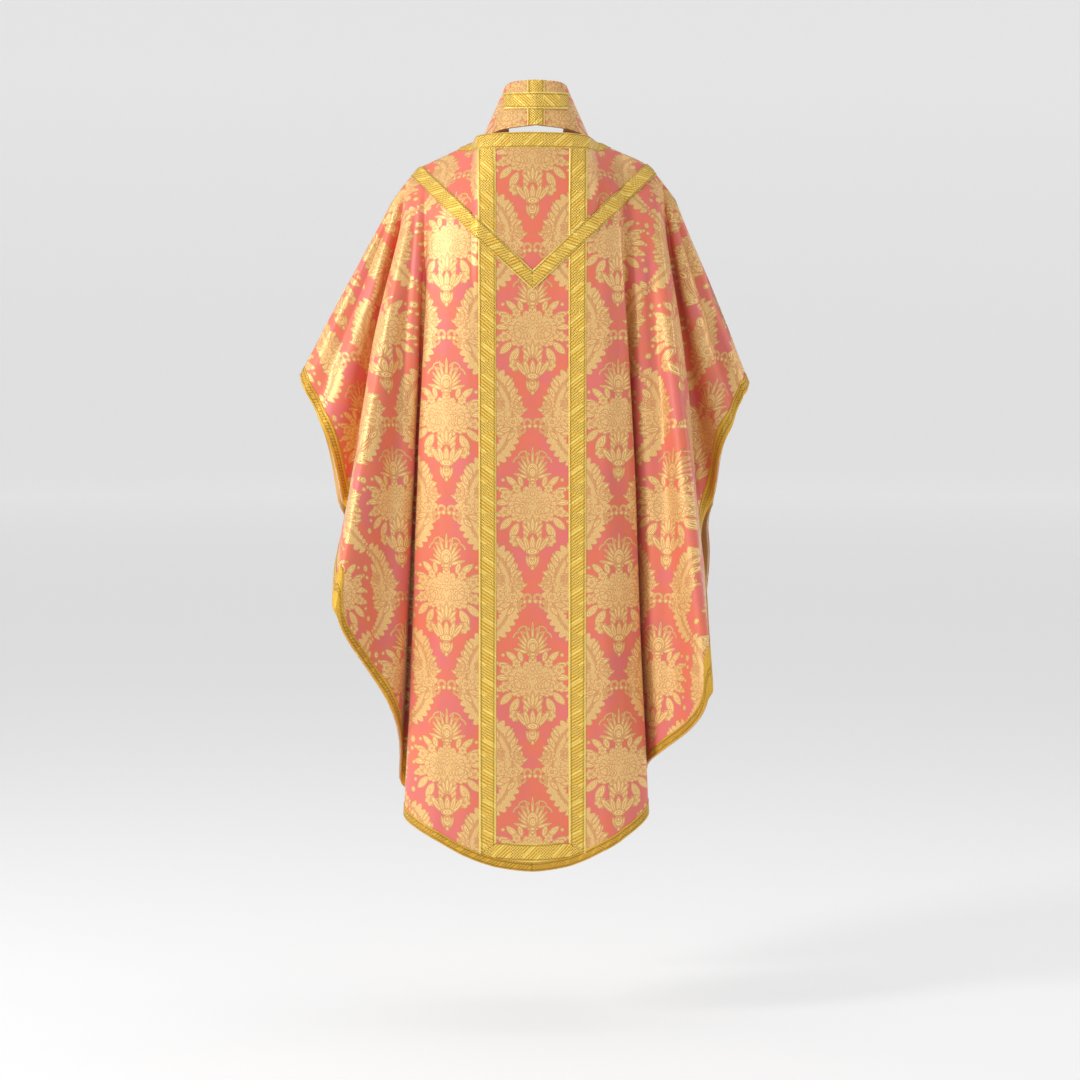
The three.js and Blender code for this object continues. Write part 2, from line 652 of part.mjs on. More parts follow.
// Smallest vertical distance between the lower and the upper pieces, taken on a lattice of points
// over each face of both.
function verticalRoom(lower, upper) {
  const ray = new THREE.Raycaster();
  const reach = (points, targets, direction) => points.map((origin) => {
    ray.set(origin, direction);
    const hits = ray.intersectObjects(targets, false);
    return hits.length > 0 ? hits[0].distance : Infinity;
  });
  const lattice = range(0, SEAT_LATTICE).flatMap((i) => range(0, SEAT_LATTICE - i).map((j) => (
    [i / SEAT_LATTICE, j / SEAT_LATTICE]
  )));
  const samples = (meshes) => meshes.flatMap(({ geometry }) => {
    const { array } = geometry.attributes.position;
    const corner = (index) => new THREE.Vector3().fromArray(array, geometry.index.getX(index) * 3);
    return range(0, geometry.index.count / 3 - 1).flatMap((face) => {
      const [a, b, c] = [0, 1, 2].map((offset) => corner(face * 3 + offset));
      return lattice.map(([i, j]) => (
        a.clone().multiplyScalar(1 - i - j).addScaledVector(b, i).addScaledVector(c, j)
      ));
    });
  });
  [...lower, ...upper].forEach((mesh) => { mesh.material.side = THREE.DoubleSide; });
  const up = reach(samples(lower), upper, new THREE.Vector3(0, 0, 1));
  const down = reach(samples(upper), lower, new THREE.Vector3(0, 0, -1));
  return Math.min(...up, ...down);
}

function stole() {
  const group = new THREE.Group();
  group.add(...stoleHalf('left', -1), ...stoleHalf('right', 1), ...neckCross());
  return group;
}

// The chasuble rests on the stole at the shoulders: the stole is raised until only its clearance is
// left between its outer cloth and the front lining.
const vestment = new THREE.Group();
const worn = chasuble();
const beneath = stole();
const named = (group, test) => group.children.filter((mesh) => test.test(mesh.name));
const room = verticalRoom(named(beneath, /^stole_brocade/), named(worn, /^front_lining/));
beneath.position.z = room - SEAT_CLEARANCE;
vestment.add(worn, beneath);

export default vestment;
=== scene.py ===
"""Pink brocade chasuble and its stole, hung as on a wearer, seen from behind.

The cloth is one draped surface for the back and one for the front. Each surface is worked out once, as a
fine grid over (ruling, share of the way down), with the flat place of each grid point before it was
hung. Linings, interlinings, brocade panels and braids are all laid off that grid, so they stay parallel.
Millimetres are used for the shapes and turned into metres when a mesh is made.
"""
import math

import bpy
import numpy as np
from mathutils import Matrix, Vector


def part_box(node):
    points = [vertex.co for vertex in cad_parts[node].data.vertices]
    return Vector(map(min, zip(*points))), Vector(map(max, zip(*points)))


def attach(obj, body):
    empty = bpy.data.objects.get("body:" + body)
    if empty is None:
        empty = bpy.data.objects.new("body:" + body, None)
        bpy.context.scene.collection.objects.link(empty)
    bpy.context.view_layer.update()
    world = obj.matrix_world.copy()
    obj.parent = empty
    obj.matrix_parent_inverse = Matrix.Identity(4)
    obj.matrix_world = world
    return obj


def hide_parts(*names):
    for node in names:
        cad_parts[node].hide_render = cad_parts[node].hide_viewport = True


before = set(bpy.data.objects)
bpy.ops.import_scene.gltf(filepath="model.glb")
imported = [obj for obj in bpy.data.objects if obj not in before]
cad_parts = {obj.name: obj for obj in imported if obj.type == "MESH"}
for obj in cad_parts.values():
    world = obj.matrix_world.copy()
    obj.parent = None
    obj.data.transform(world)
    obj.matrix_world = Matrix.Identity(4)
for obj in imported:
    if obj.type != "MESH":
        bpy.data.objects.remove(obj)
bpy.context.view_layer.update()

MM = 0.001

# ---- driving dimensions, millimetres -------------------------------------------------------------
GAP = 0.3                        # between layers
LINING = 0.8                     # thickness of each layer
INTERLINING = 1.0
CLOTH = 1.2
BRAID = 1.0
INTERLINING_AT = LINING + GAP
CLOTH_AT = INTERLINING_AT + INTERLINING + GAP
BRAID_AT = CLOTH_AT + CLOTH + GAP
UPPER_BRAID_AT = BRAID_AT + BRAID + GAP

COLUMN_INNER = 63
COLUMN_WIDTH = 31
COLUMN_OUTER = COLUMN_INNER + COLUMN_WIDTH
V_DEPTH = 271
V_HEIGHT = 35
V_SLOPE = 0.935
NECK_BRAID = 30
HEM_BRAID = 16
CROSS_BAND = 34
CROSS_BAND_MITRE = 20
SHOULDER_ROUNDING = 70
NECK_SPREAD = 8


def box_mm(node):
    """Low and high corner of a CAD node, in millimetres."""
    low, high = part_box(node)
    return np.array(low) / MM, np.array(high) / MM


LENGTH = {"back": -box_mm("back_lining")[0][2], "front": -box_mm("front_lining")[0][2]}
HEM_CURVE = {"left": 0.0019, "right": 0.0023}            # how fast the middle of the hem rises sideways
NECK = {"back": (92, 4), "front": (100, -55)}            # depth and height of the middle of the neckline
NECK_SHOULDER = {"back": 120, "front": 122}
CENTRE_FLARE = {"back": 50, "front": 44}
NECK_PLAN = [(0, 1, 0), (COLUMN_INNER, 0.93, 0.12), (COLUMN_INNER + COLUMN_WIDTH / 2, 0.86, 0.2),
             (COLUMN_OUTER, 0.74, 0.34)]
ARM_LINE = {
    "left": [(COLUMN_OUTER + 12, -13), (200, -57), (228, -88), (248, -116)],
    "right": [(COLUMN_OUTER + 22, -13), (203, -51), (230, -84), (251, -112)],
}
WING_EDGE = {"left": (411, -425), "right": (381, -438)}
# Folds from the neck point out: distance at the arm line, distance at the hem, share of the way from the
# wing edge's height down to the lowest hem, depth below the shoulder, further depth at the hem.
FOLDS = {
    ("back", "left"): [
        (140, 165, 0.941, 112, 46), (168, 212, 0.903, 100, 12), (184, 229, 0.850, 85, -20),
        (196, 262, 0.650, 75, 55), (207, 341, 0.476, 55, 130), (215, 329, 0.336, 30, 60),
        (222, 340, 0.261, 12, 12), (232, 372, 0.104, 12, 20), (243, 404, 0.026, 10, 4),
    ],
    ("back", "right"): [
        (133, 158, 0.933, 112, 46), (144, 193, 0.886, 102, 20), (156, 196, 0.817, 90, -20),
        (186, 240, 0.751, 80, 45), (212, 308, 0.633, 55, 132), (221, 293, 0.403, 30, 55),
        (229, 322, 0.244, 12, 12), (234, 347, 0.102, 17, 14), (242, 374, 0.024, 15, -1),
    ],
    ("front", "left"): [
        (140, 158, 0.943, 116, 40), (166, 204, 0.892, 110, 12), (182, 218, 0.825, 98, -14),
        (196, 266, 0.675, 82, 46), (208, 326, 0.534, 58, 112), (216, 332, 0.386, 32, 56),
        (224, 348, 0.277, 14, 16), (234, 378, 0.114, 14, 22), (242, 404, 0.030, 10, 5),
    ],
    ("front", "right"): [
        (137, 156, 0.940, 116, 38), (154, 196, 0.884, 110, 14), (170, 208, 0.816, 99, -16),
        (191, 252, 0.694, 84, 42), (212, 306, 0.572, 58, 118), (221, 313, 0.400, 34, 50),
        (229, 324, 0.266, 14, 16), (234, 347, 0.106, 17, 14), (242, 374, 0.024, 15, -1),
    ],
}
NECK_RULING = 4
SEAM_RULING = 2                  # the brocade is seamed under the middle of each column braid
LAST_RULING = 14
SIDES = (("left", -1), ("right", 1))

# ---- fineness ------------------------------------------------------------------------------------
SIDE_COLUMNS = 280
CENTRE_COLUMNS = 68
ROWS = 350
ROW_GRADING = 1.15                 # rows are closer together near the shoulder
HIDDEN_EVERY = 3                   # hidden layers take every third line of the grid
SMALL = 1e-9
SMALLEST_TURN = 1e-6               # keeps a search from dividing by nothing
SEARCH_STEPS = 30


# ---- curves --------------------------------------------------------------------------------------
def smooth_curve(values):
    """Smooth curve through values at whole numbers that never overshoots them."""
    values = np.asarray(values, float)
    rises = np.diff(values)
    slopes = np.zeros(len(values))
    before, after = rises[:-1], rises[1:]
    same = before * after > 0
    slopes[1:-1][same] = 2 * before[same] * after[same] / (before[same] + after[same])
    slopes[0], slopes[-1] = rises[0], rises[-1]

    def curve(position):
        index = np.clip(np.floor(position).astype(int), 0, len(values) - 2)
        t = position - index
        rise = rises[index]
        return (values[index] + t * slopes[index]
                + t ** 2 * (3 * rise - 2 * slopes[index] - slopes[index + 1])
                + t ** 3 * (slopes[index] + slopes[index + 1] - 2 * rise))
    return curve


def smooth_step(low, high, value):
    """0 at low and 1 at high, smooth between."""
    t = np.clip((value - low) / (high - low), 0, 1)
    return t * t * (3 - 2 * t)


def arm_height(side, distance):
    """Height of the arm line at a distance from the middle."""
    xs, zs = zip(*ARM_LINE[side])
    return np.interp(distance, xs, zs)


def unit(vectors):
    """The same directions, each 1 long."""
    return vectors / np.maximum(np.linalg.norm(vectors, axis=-1, keepdims=True), SMALL)


def run_of(line):
    """Running length at each point of a line."""
    return np.concatenate([[0], np.cumsum(np.linalg.norm(np.diff(line, axis=0), axis=-1))])


def braid_flat(places):
    """Flat places of a braid from its grid: the run along its middle, and the distance across it."""
    run = run_of(places[:, places.shape[1] // 2])
    width = np.linalg.norm(np.diff(places, axis=1), axis=-1)
    across = np.concatenate([np.zeros((len(places), 1)), np.cumsum(width, axis=1)], axis=1)
    across = across - across[:, -1:] / 2
    return np.stack([np.broadcast_to(run[:, None], across.shape), across], axis=-1)


def seen_at(point, first, second, x, z, step, moves, reach):
    """Both coordinates of a surface where it is seen at x, z, from a guess of them.

    `moves` is how far each may move in one step of the search, and `reach` how far out the first may be.
    """
    for _ in range(SEARCH_STEPS):
        here = point(first, second)
        by_first = (point(first + step, second) - here) / step
        by_second = (point(first, second + step) - here) / step
        dx, dz = x - here[..., 0], z - here[..., 2]
        det = by_first[..., 0] * by_second[..., 2] - by_first[..., 2] * by_second[..., 0]
        det = np.where(np.abs(det) < SMALLEST_TURN, SMALLEST_TURN, det)
        move_first = (dx * by_second[..., 2] - dz * by_second[..., 0]) / det
        move_second = (dz * by_first[..., 0] - dx * by_first[..., 2]) / det
        first = np.clip(first + np.clip(move_first, -moves[0], moves[0]), -reach, reach)
        second = np.clip(second + np.clip(move_second, -moves[1], moves[1]), 0, 1)
    return first, second


# ---- wrinkles and creases ------------------------------------------------------------------------
# Wrinkles: length of the wave, slant, height. Pucker: beside the stitched braids.
WAVES = [(210, 0.10, 3.0), (133, -0.16, 1.6), (71, 0.22, 0.7)]
WAVE_PHASE = 1.7
WAVE_SWAY = 26
WAVE_RUN = 190
FACE_SEED = {"back": 0.0, "front": 2.1}
PUCKER = 1.6
PUCKER_REACH = 15
WING_UP = 0.3                      # how much the edge of a wing looks up
RIDGE_SHARE = 0.35
RIDGE_AWAY = 2.2
# Creases: ruling along the bottom of the crease, half width in rulings, depth.
CREASES = {
    "back": [
        (-12.3, 0.30, 8), (-10.7, 0.50, 30), (-8.2, 0.28, 9), (-6.9, 0.40, 22),
        (6.8, 0.40, 22), (8.3, 0.28, 10), (10.8, 0.45, 30), (12.4, 0.3, 7),
    ],
    "front": [
        (-12.2, 0.3, 6), (-10.8, 0.45, 16), (-7.1, 0.40, 12),
        (7.1, 0.40, 12), (10.8, 0.45, 16), (12.3, 0.3, 6),
    ],
}


# ---- the draped surfaces -------------------------------------------------------------------------
def half_rulings(face, side):
    """Rows of top x, top z, top depth, hem x, hem z, shoulder depth, flare; from the centre line out."""
    depth, height = NECK[face]
    neck_x, neck_z = ARM_LINE[side][0]
    edge_x, edge_z = WING_EDGE[side]
    centre = (NECK_SHOULDER[face], CENTRE_FLARE[face])
    rows = [
        (x, height + drop * (neck_z - height), depth * share, x, HEM_CURVE[side] * x * x - LENGTH[face],
         *centre)
        for x, share, drop in NECK_PLAN
    ]
    hem_x = neck_x + NECK_SPREAD
    rows.append((neck_x, neck_z, 0, hem_x, HEM_CURVE[side] * hem_x ** 2 - LENGTH[face], *centre))
    for top, x, share, shoulder, flare in FOLDS[face, side]:
        hem_z = edge_z - share * (LENGTH[face] + edge_z)
        rows.append((top, arm_height(side, top), 0, x, hem_z, shoulder, flare))
    rows.append((*ARM_LINE[side][-1], 0, edge_x, edge_z, 0, 0))
    return np.array(rows, float)


class Sheet:
    """One draped face, sampled once on a fine grid: places, outward normals and flat places."""

    def __init__(self, face):
        self.face = face
        self.outward = -1 if face == "back" else 1
        left = half_rulings(face, "left")[:0:-1] * [-1, 1, 1, -1, 1, 1, 1]
        rows = np.vstack([left, half_rulings(face, "right")])
        self.curves = [smooth_curve(column) for column in rows.T]
        side = np.linspace(SEAM_RULING, LAST_RULING, SIDE_COLUMNS + 1)
        centre = np.linspace(-SEAM_RULING, SEAM_RULING, CENTRE_COLUMNS + 1)
        self.rulings = np.concatenate([-side[:0:-1], centre, side[1:]])
        self.shares = np.linspace(0, 1, ROWS + 1) ** ROW_GRADING
        r, s = np.meshgrid(self.rulings, self.shares, indexing="ij")
        base = self.smooth_point(r, s)
        self.flat = self.unrolled(base)
        self.places = base + self.wrinkles(r, s)[..., None] * self.grid_normals(base)
        self.normals = self.grid_normals(self.places)
        self.close_seams(r, s)

    def smooth_point(self, ruling, share):
        """The drape with no wrinkles, as the CAD has it."""
        top_x, top_z, top_depth, hem_x, hem_z, shoulder, flare = (
            curve(ruling + LAST_RULING) for curve in self.curves
        )
        drop = share * np.hypot(hem_x - top_x, hem_z - top_z)
        turned = 1 - np.exp(-drop / SHOULDER_ROUNDING)
        depth = top_depth + (shoulder - top_depth) * turned + flare * share
        return np.stack([
            top_x + share * (hem_x - top_x), self.outward * depth, top_z + share * (hem_z - top_z),
        ], axis=-1)

    def grid_normals(self, grid):
        across = np.gradient(grid, axis=0)
        along = np.gradient(grid, axis=1)
        return unit(np.cross(across, along) * self.outward)

    def unrolled(self, grid):
        """Flat places of the grid before it was hung, laid out from the middle line to both sides."""
        middle = int(np.argmin(np.abs(self.rulings)))
        flat = np.zeros(grid.shape[:2] + (2,))
        flat[middle, :, 1] = -run_of(grid[middle])
        for direction in (1, -1):
            for index in range(middle + direction, -1 if direction < 0 else len(grid), direction):
                flat[index] = self.beside(grid, flat, index, index - direction, direction)
        return flat

    @staticmethod
    def beside(grid, flat, index, last, direction):
        """Lays one ruling beside the last one, keeping the width of the strip at every row."""
        axis = unit(flat[last, -1] - flat[last, 0])
        square = np.array([-axis[1], axis[0]]) * direction
        step = grid[index] - grid[last]
        along = np.sum(step * unit(np.gradient(grid[last], axis=0)), axis=-1)
        width = np.sqrt(np.maximum(np.sum(step * step, axis=-1) - along ** 2, 0))
        return flat[last] + axis * along[:, None] + square * width[:, None]

    def wrinkles(self, ruling, share):
        """Height of wrinkles and creases above the smooth drape; none at the shoulder."""
        seed = FACE_SEED[self.face]
        waves = smooth_step(0.12, 0.5, share) * self.waves(seed)
        pucker = smooth_step(0.05, 0.2, share) * self.pucker(seed) * smooth_step(1, 0.985, share)
        creases = smooth_step(0.03, 0.4, share) * (1 - 0.25 * share) * self.creases(ruling)
        return waves + pucker + creases

    def waves(self, seed):
        """Long soft waves that run down the cloth."""
        x, y = self.flat[..., 0], self.flat[..., 1]
        height = 0
        for number, (length, slant, high) in enumerate(WAVES):
            phase = seed + WAVE_PHASE * number
            run = x * math.cos(slant) + y * math.sin(slant) + WAVE_SWAY * np.sin(y / WAVE_RUN + phase)
            height = height + high * (0.5 + 0.5 * np.sin(2 * math.pi * run / length + phase))
        return height

    def pucker(self, seed):
        """Small pulls beside the stitching of the column braids."""
        x, y = self.flat[..., 0], self.flat[..., 1]
        beat = np.sin(y / 17 + 1.3 * np.sin(y / 61 + seed) + np.sign(x)) * np.sin(y / 140 + seed)
        height = 0
        for edge in (COLUMN_INNER, COLUMN_OUTER):
            near = np.exp(-((np.abs(x) - edge) / PUCKER_REACH) ** 2)
            height = height + near * PUCKER * (0.5 + 0.5 * beat)
        return height

    def creases(self, ruling):
        """Hollows along the folds, each with a low ridge on both sides."""
        height = 0
        for middle, reach, deep in CREASES[self.face]:
            away = (ruling - middle) / reach
            ridge = RIDGE_SHARE * np.exp(-(np.abs(away) - RIDGE_AWAY) ** 2)
            height = height - deep * (np.exp(-away ** 2) - ridge)
        return height

    def close_seams(self, ruling, share):
        """Brings the edges of front and back together along the arm line and the wing edges."""
        wing = np.abs(ruling) >= LAST_RULING
        shoulder = (share <= 0) & (np.abs(ruling) >= NECK_RULING)
        edge = wing | shoulder
        self.places[edge, 1] = self.outward * GAP / 2
        side = np.sign(ruling)
        along = np.gradient(self.places, axis=1)
        across = np.gradient(self.places, axis=0)
        out = np.zeros_like(self.places)
        wing_up = np.abs(along[..., 0]) * WING_UP
        wing_normal = unit(np.stack([np.abs(along[..., 2]) * side, 0 * side, wing_up], -1))
        top_normal = unit(np.stack([-across[..., 2], 0 * side, across[..., 0]], -1))
        out[wing] = wing_normal[wing]
        out[shoulder] += top_normal[shoulder]
        self.normals[edge] = unit(out[edge])

    def place(self, ruling, share):
        """Grid coordinates of any ruling and share."""
        column = np.interp(ruling, self.rulings, np.arange(len(self.rulings)))
        row = np.interp(share, self.shares, np.arange(len(self.shares)))
        return column, row

    def sample(self, field, ruling, share):
        """Value of a grid field between its points."""
        column, row = self.place(np.asarray(ruling, float), np.asarray(share, float))
        i = np.clip(column.astype(int), 0, field.shape[0] - 2)
        j = np.clip(row.astype(int), 0, field.shape[1] - 2)
        a, b = (column - i)[..., None], (row - j)[..., None]
        return ((field[i, j] * (1 - a) + field[i + 1, j] * a) * (1 - b)
                + (field[i, j + 1] * (1 - a) + field[i + 1, j + 1] * a) * b)

    def raised(self, ruling, share, height):
        """Points at a height above the sheet."""
        height = np.broadcast_to(height, np.shape(ruling))[..., None]
        return (self.sample(self.places, ruling, share)
                + unit(self.sample(self.normals, ruling, share)) * height)

    def share_at_distance(self, ruling, distance):
        """Share of each ruling at a distance down the cloth."""
        down = self.run_down(ruling)
        return np.array([np.interp(distance, run, self.shares) for run in down])

    def run_down(self, ruling):
        """Running length down each ruling, at every share of the grid."""
        line = self.smooth_point(np.asarray(ruling)[:, None], self.shares[None, :])
        steps = np.linalg.norm(np.diff(line, axis=1), axis=-1)
        return np.concatenate([np.zeros((len(line), 1)), np.cumsum(steps, axis=1)], axis=1)

    def hem_share(self, ruling, width):
        """Share where a band of that width along the hem has its upper edge."""
        near = 0.002
        top = np.clip(ruling + near, -LAST_RULING, LAST_RULING)
        low = np.clip(ruling - near, -LAST_RULING, LAST_RULING)
        across = unit(self.smooth_point(top, 1.0) - self.smooth_point(low, 1.0))
        along = self.smooth_point(ruling, 1.0) - self.smooth_point(ruling, 1 - near)
        length = np.linalg.norm(along, axis=-1) / near
        sine = np.linalg.norm(np.cross(across, unit(along)), axis=-1)
        return 1 - width / (length * np.maximum(sine, 0.2))

    def locate(self, x, z):
        """Ruling and share of the point that is seen at x, z from the front or the back."""
        ruling = np.interp(x, self.curves[0](self.rulings + LAST_RULING), self.rulings)
        share = np.full(np.shape(x), 0.1)
        return seen_at(self.smooth_point, ruling, share, x, z, 0.01, (1, 0.1), LAST_RULING - 0.02)


# ---- meshes --------------------------------------------------------------------------------------
def grid_faces(columns, rows, flip):
    """Quads of a grid of points, as rows of four indices."""
    index = np.arange(columns * rows).reshape(columns, rows)
    corners = [index[:-1, :-1], index[1:, :-1], index[1:, 1:], index[:-1, 1:]]
    quads = np.stack(corners, axis=-1).reshape(-1, 4)
    return quads[:, ::-1] if flip else quads


def rim_loop(columns, rows):
    """Indices around the edge of a grid, in order."""
    index = np.arange(columns * rows).reshape(columns, rows)
    return np.concatenate([index[:-1, 0], index[-1, :-1], index[:0:-1, -1], index[0, :0:-1]])


def mesh_object(name, points, faces, flat, material):
    """Object from points in millimetres, with its flat places in metres as the UV map."""
    mesh = bpy.data.meshes.new(name)
    mesh.from_pydata((np.asarray(points) * MM).tolist(), [], faces.tolist())
    uv = mesh.uv_layers.new(name="flat")
    corners = np.zeros(len(mesh.loops), np.int32)
    mesh.loops.foreach_get("vertex_index", corners)
    uv.data.foreach_set("uv", (np.asarray(flat)[corners] * MM).astype(np.float32).ravel())
    mesh.polygons.foreach_set("use_smooth", np.ones(len(mesh.polygons), bool))
    mesh.materials.append(material)
    mesh.update()
    obj = bpy.data.objects.new(name, mesh)
    bpy.context.collection.objects.link(obj)
    return obj


def shell(name, outer, inner, flat, material, closed=True):
    """Cloth between two grids, the outer one first; an open one leaves out the hidden inner face."""
    columns, rows = outer.shape[:2]
    count = columns * rows
    a, b, c = outer[0, 0], outer[1, 0], outer[0, 1]
    flip = np.dot(np.cross(b - a, c - a), a - inner[0, 0]) < 0
    faces = [grid_faces(columns, rows, flip)]
    points = [outer.reshape(-1, 3)]
    loop = rim_loop(columns, rows)
    after = np.roll(loop, -1)
    if closed:
        points.append(inner.reshape(-1, 3))
        faces.append(grid_faces(columns, rows, not flip) + count)
        low, low_after = loop + count, after + count
        flats = [flat.reshape(-1, 2)] * 2
    else:
        points.append(inner.reshape(-1, 3)[loop])
        low = np.arange(len(loop)) + count
        low_after = np.roll(low, -1)
        flats = [flat.reshape(-1, 2), flat.reshape(-1, 2)[loop]]
    rim = np.stack([loop, low, low_after, after], axis=-1)
    faces.append(rim[:, ::-1] if flip else rim)
    return mesh_object(name, *map(np.concatenate, (points, faces, flats)), material)


def flat_size(flat):
    """Width, length and area in metres of a flat grid of points in millimetres."""
    low, high = flat.reshape(-1, 2).min(0), flat.reshape(-1, 2).max(0)
    a, b = flat[1:, 1:] - flat[:-1, :-1], flat[1:, :-1] - flat[:-1, 1:]
    area = np.abs(a[..., 0] * b[..., 1] - a[..., 1] * b[..., 0]).sum() / 2
    width, length = (high - low) * MM
    return float(width), float(length), float(area * MM * MM)


def belongs(obj, node, body):
    """Puts a piece on its body, in place of its CAD node."""
    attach(obj, body)
    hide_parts(node)
    return obj


def declare_sheet(flat):
    """Works out the width, length and area a cloth was cut to; nothing is done with them."""
    width, length, area = flat_size(flat)


# ---- chasuble ------------------------------------------------------------------------------------
TOP_X, TOP_Z, HEM_Z = 0, 1, 4      # columns of half_rulings
BRAID_STEP = 1.6                   # fineness of a braid along its length, millimetres
BRAID_ACROSS = 20                  # points across a braid
HEM_BRAID_ACROSS = 10
BRAID_EDGE = 0.35                  # thickness of a braid at its very edge, further in, and its edge cord
BRAID_BODY = 0.25
CORD = 0.4
CORD_AT = 0.09                     # shares of the braid's width
CORD_REACH = 0.035
NECK_BEYOND = 0.8                  # how far the neck braid runs on past the neck point, in its widths
NECK_TIP = 0.02                    # share of its width that is left at its tip
NECK_ALONG = 260
NECK_SEARCH = 60
V_SEARCH = 260
V_SEARCH_STEPS = 800
V_LENGTHS = 1.35                   # length of an arm of the V over its depth
CROSS_BAND_ALONG = 130


def cloth_piece(sheet, part, first, last, low, high, every, material, closed):
    """Layer of cloth between two rulings of a sheet and two heights above it."""
    chosen = np.where((sheet.rulings >= first - SMALL) & (sheet.rulings <= last + SMALL))[0]
    columns = np.unique(np.concatenate([chosen[::every], chosen[-1:]]))
    rows = np.unique(np.concatenate([np.arange(0, len(sheet.shares), every), [len(sheet.shares) - 1]]))
    pick = np.ix_(columns, rows)
    places, normals, flat = sheet.places[pick], sheet.normals[pick], sheet.flat[pick]
    name = f"{sheet.face}_{part}"
    obj = shell(f"{name}_cloth", places + normals * high, places + normals * low, flat, material, closed)
    belongs(obj, name, "chasuble")
    return obj, flat


def braid_profile(across):
    """Thickness of a braid across its width: a raised cord near each edge, thin at the very edge."""
    from_edge = np.minimum(across, 1 - across)
    cord = np.exp(-((from_edge - CORD_AT) / CORD_REACH) ** 2)
    return BRAID_EDGE + BRAID_BODY * smooth_step(0, 0.05, from_edge) + CORD * cord


def braid_strip(name, sheet, ruling, share, height, material):
    """Woven braid on a grid of (ruling, share): along its length first, then across."""
    profile = braid_profile(np.linspace(0, 1, ruling.shape[1]))
    top = sheet.raised(ruling, share, height + profile[None, :])
    low = sheet.raised(ruling, share, height)
    obj = shell(f"{name}_braid", top, low, braid_flat(low), material)
    return belongs(obj, name, "chasuble")


def rows_between(start, finish, count):
    """Rows of shares from a start to a finish of their own, one beside the other along the first axis."""
    return start[None, :] + (finish - start)[None, :] * np.linspace(0, 1, count)[:, None]


def column_braid(sheet, side, sign, looks):
    rulings = sign * np.linspace(1, 3, BRAID_ACROSS)
    start = sheet.share_at_distance(rulings, NECK_BRAID + GAP)
    top_z, hem_z = (sheet.curves[k](rulings + LAST_RULING) for k in (TOP_Z, HEM_Z))
    across = (np.abs(rulings) - 1) / 2
    end_z = HEM_BRAID + CROSS_BAND - LENGTH[sheet.face] - CROSS_BAND_MITRE * across + GAP
    finish = (end_z - top_z) / (hem_z - top_z)
    share = rows_between(start, finish, int(LENGTH[sheet.face] / BRAID_STEP))
    ruling = np.broadcast_to(rulings[None, :], share.shape)
    name = f"{sheet.face}_column_galloon_{side}"
    return braid_strip(name, sheet, ruling, share, BRAID_AT, looks["galloon"])


def neck_braid(sheet, looks):
    """Braid along the neckline, which narrows to nothing just beyond the neck points."""
    ends = []
    beyond = np.linspace(NECK_RULING, NECK_RULING + 1, NECK_SEARCH)
    for side in ("left", "right"):
        out = ARM_LINE[side][0][0] + NECK_BRAID * NECK_BEYOND
        ends.append(float(np.interp(out, sheet.curves[0](beyond + LAST_RULING), beyond)))
    rulings = np.linspace(-ends[0], ends[1], NECK_ALONG)
    far = np.where(rulings < 0, ends[0], ends[1])
    width = NECK_BRAID * np.clip((far - np.abs(rulings)) / (far - NECK_RULING), NECK_TIP, 1)
    runs = sheet.run_down(rulings)
    share = np.stack([
        [np.interp(part * deep, run, sheet.shares) for deep, run in zip(width, runs)]
        for part in np.linspace(0.01, 1, BRAID_ACROSS)
    ], axis=1)
    ruling = np.broadcast_to(rulings[:, None], share.shape)
    return braid_strip(f"neck_galloon_{sheet.face}", sheet, ruling, share, BRAID_AT, looks["galloon"])


def v_braid(sheet, side, sign, looks):
    """One arm of the V, from its point on the centre line up to the arm line."""
    heights = np.linspace(0, V_HEIGHT, BRAID_ACROSS)
    reach = np.linspace(0, V_SEARCH, V_SEARCH_STEPS)
    ends = np.array([
        reach[np.argmax(V_SLOPE * reach - V_DEPTH + height >= arm_height(side, reach) - 1)]
        for height in heights
    ])
    t = np.linspace(0, 1, int(V_DEPTH * V_LENGTHS / BRAID_STEP))
    x = GAP / 2 + (ends[None, :] - GAP / 2) * t[:, None]
    z = V_SLOPE * x - V_DEPTH + heights[None, :]
    ruling, share = sheet.locate(sign * x, z)
    name = f"{sheet.face}_v_galloon_{side}"
    return braid_strip(name, sheet, ruling, share, UPPER_BRAID_AT, looks["galloon"])


def cross_band(sheet, looks):
    """Band that joins the columns just above the hem, mitred under their ends."""
    rulings = np.linspace(-3, 3, CROSS_BAND_ALONG)
    x, top_z, hem_z = (sheet.curves[k](rulings + LAST_RULING) for k in (TOP_X, TOP_Z, HEM_Z))
    beyond = np.clip((np.abs(x) - COLUMN_INNER) / COLUMN_WIDTH, 0, 1)
    upper = HEM_BRAID + CROSS_BAND - LENGTH[sheet.face] - CROSS_BAND_MITRE * beyond
    start = (upper - top_z) / (hem_z - top_z)
    finish = sheet.hem_share(rulings, HEM_BRAID + GAP)
    share = rows_between(start, finish, BRAID_ACROSS).T
    ruling = np.broadcast_to(rulings[:, None], share.shape)
    return braid_strip(f"{sheet.face}_hem_crossband", sheet, ruling, share, BRAID_AT, looks["galloon"])


def hem_braid(sheet, side, sign, looks):
    rulings = sheet.rulings[sheet.rulings * sign >= 0]
    share = rows_between(sheet.hem_share(rulings, HEM_BRAID), np.ones(len(rulings)), HEM_BRAID_ACROSS).T
    ruling = np.broadcast_to(rulings[:, None], share.shape)
    name = f"{sheet.face}_hem_galloon_{side}"
    return braid_strip(name, sheet, ruling, share, BRAID_AT, looks["hem_galloon"])


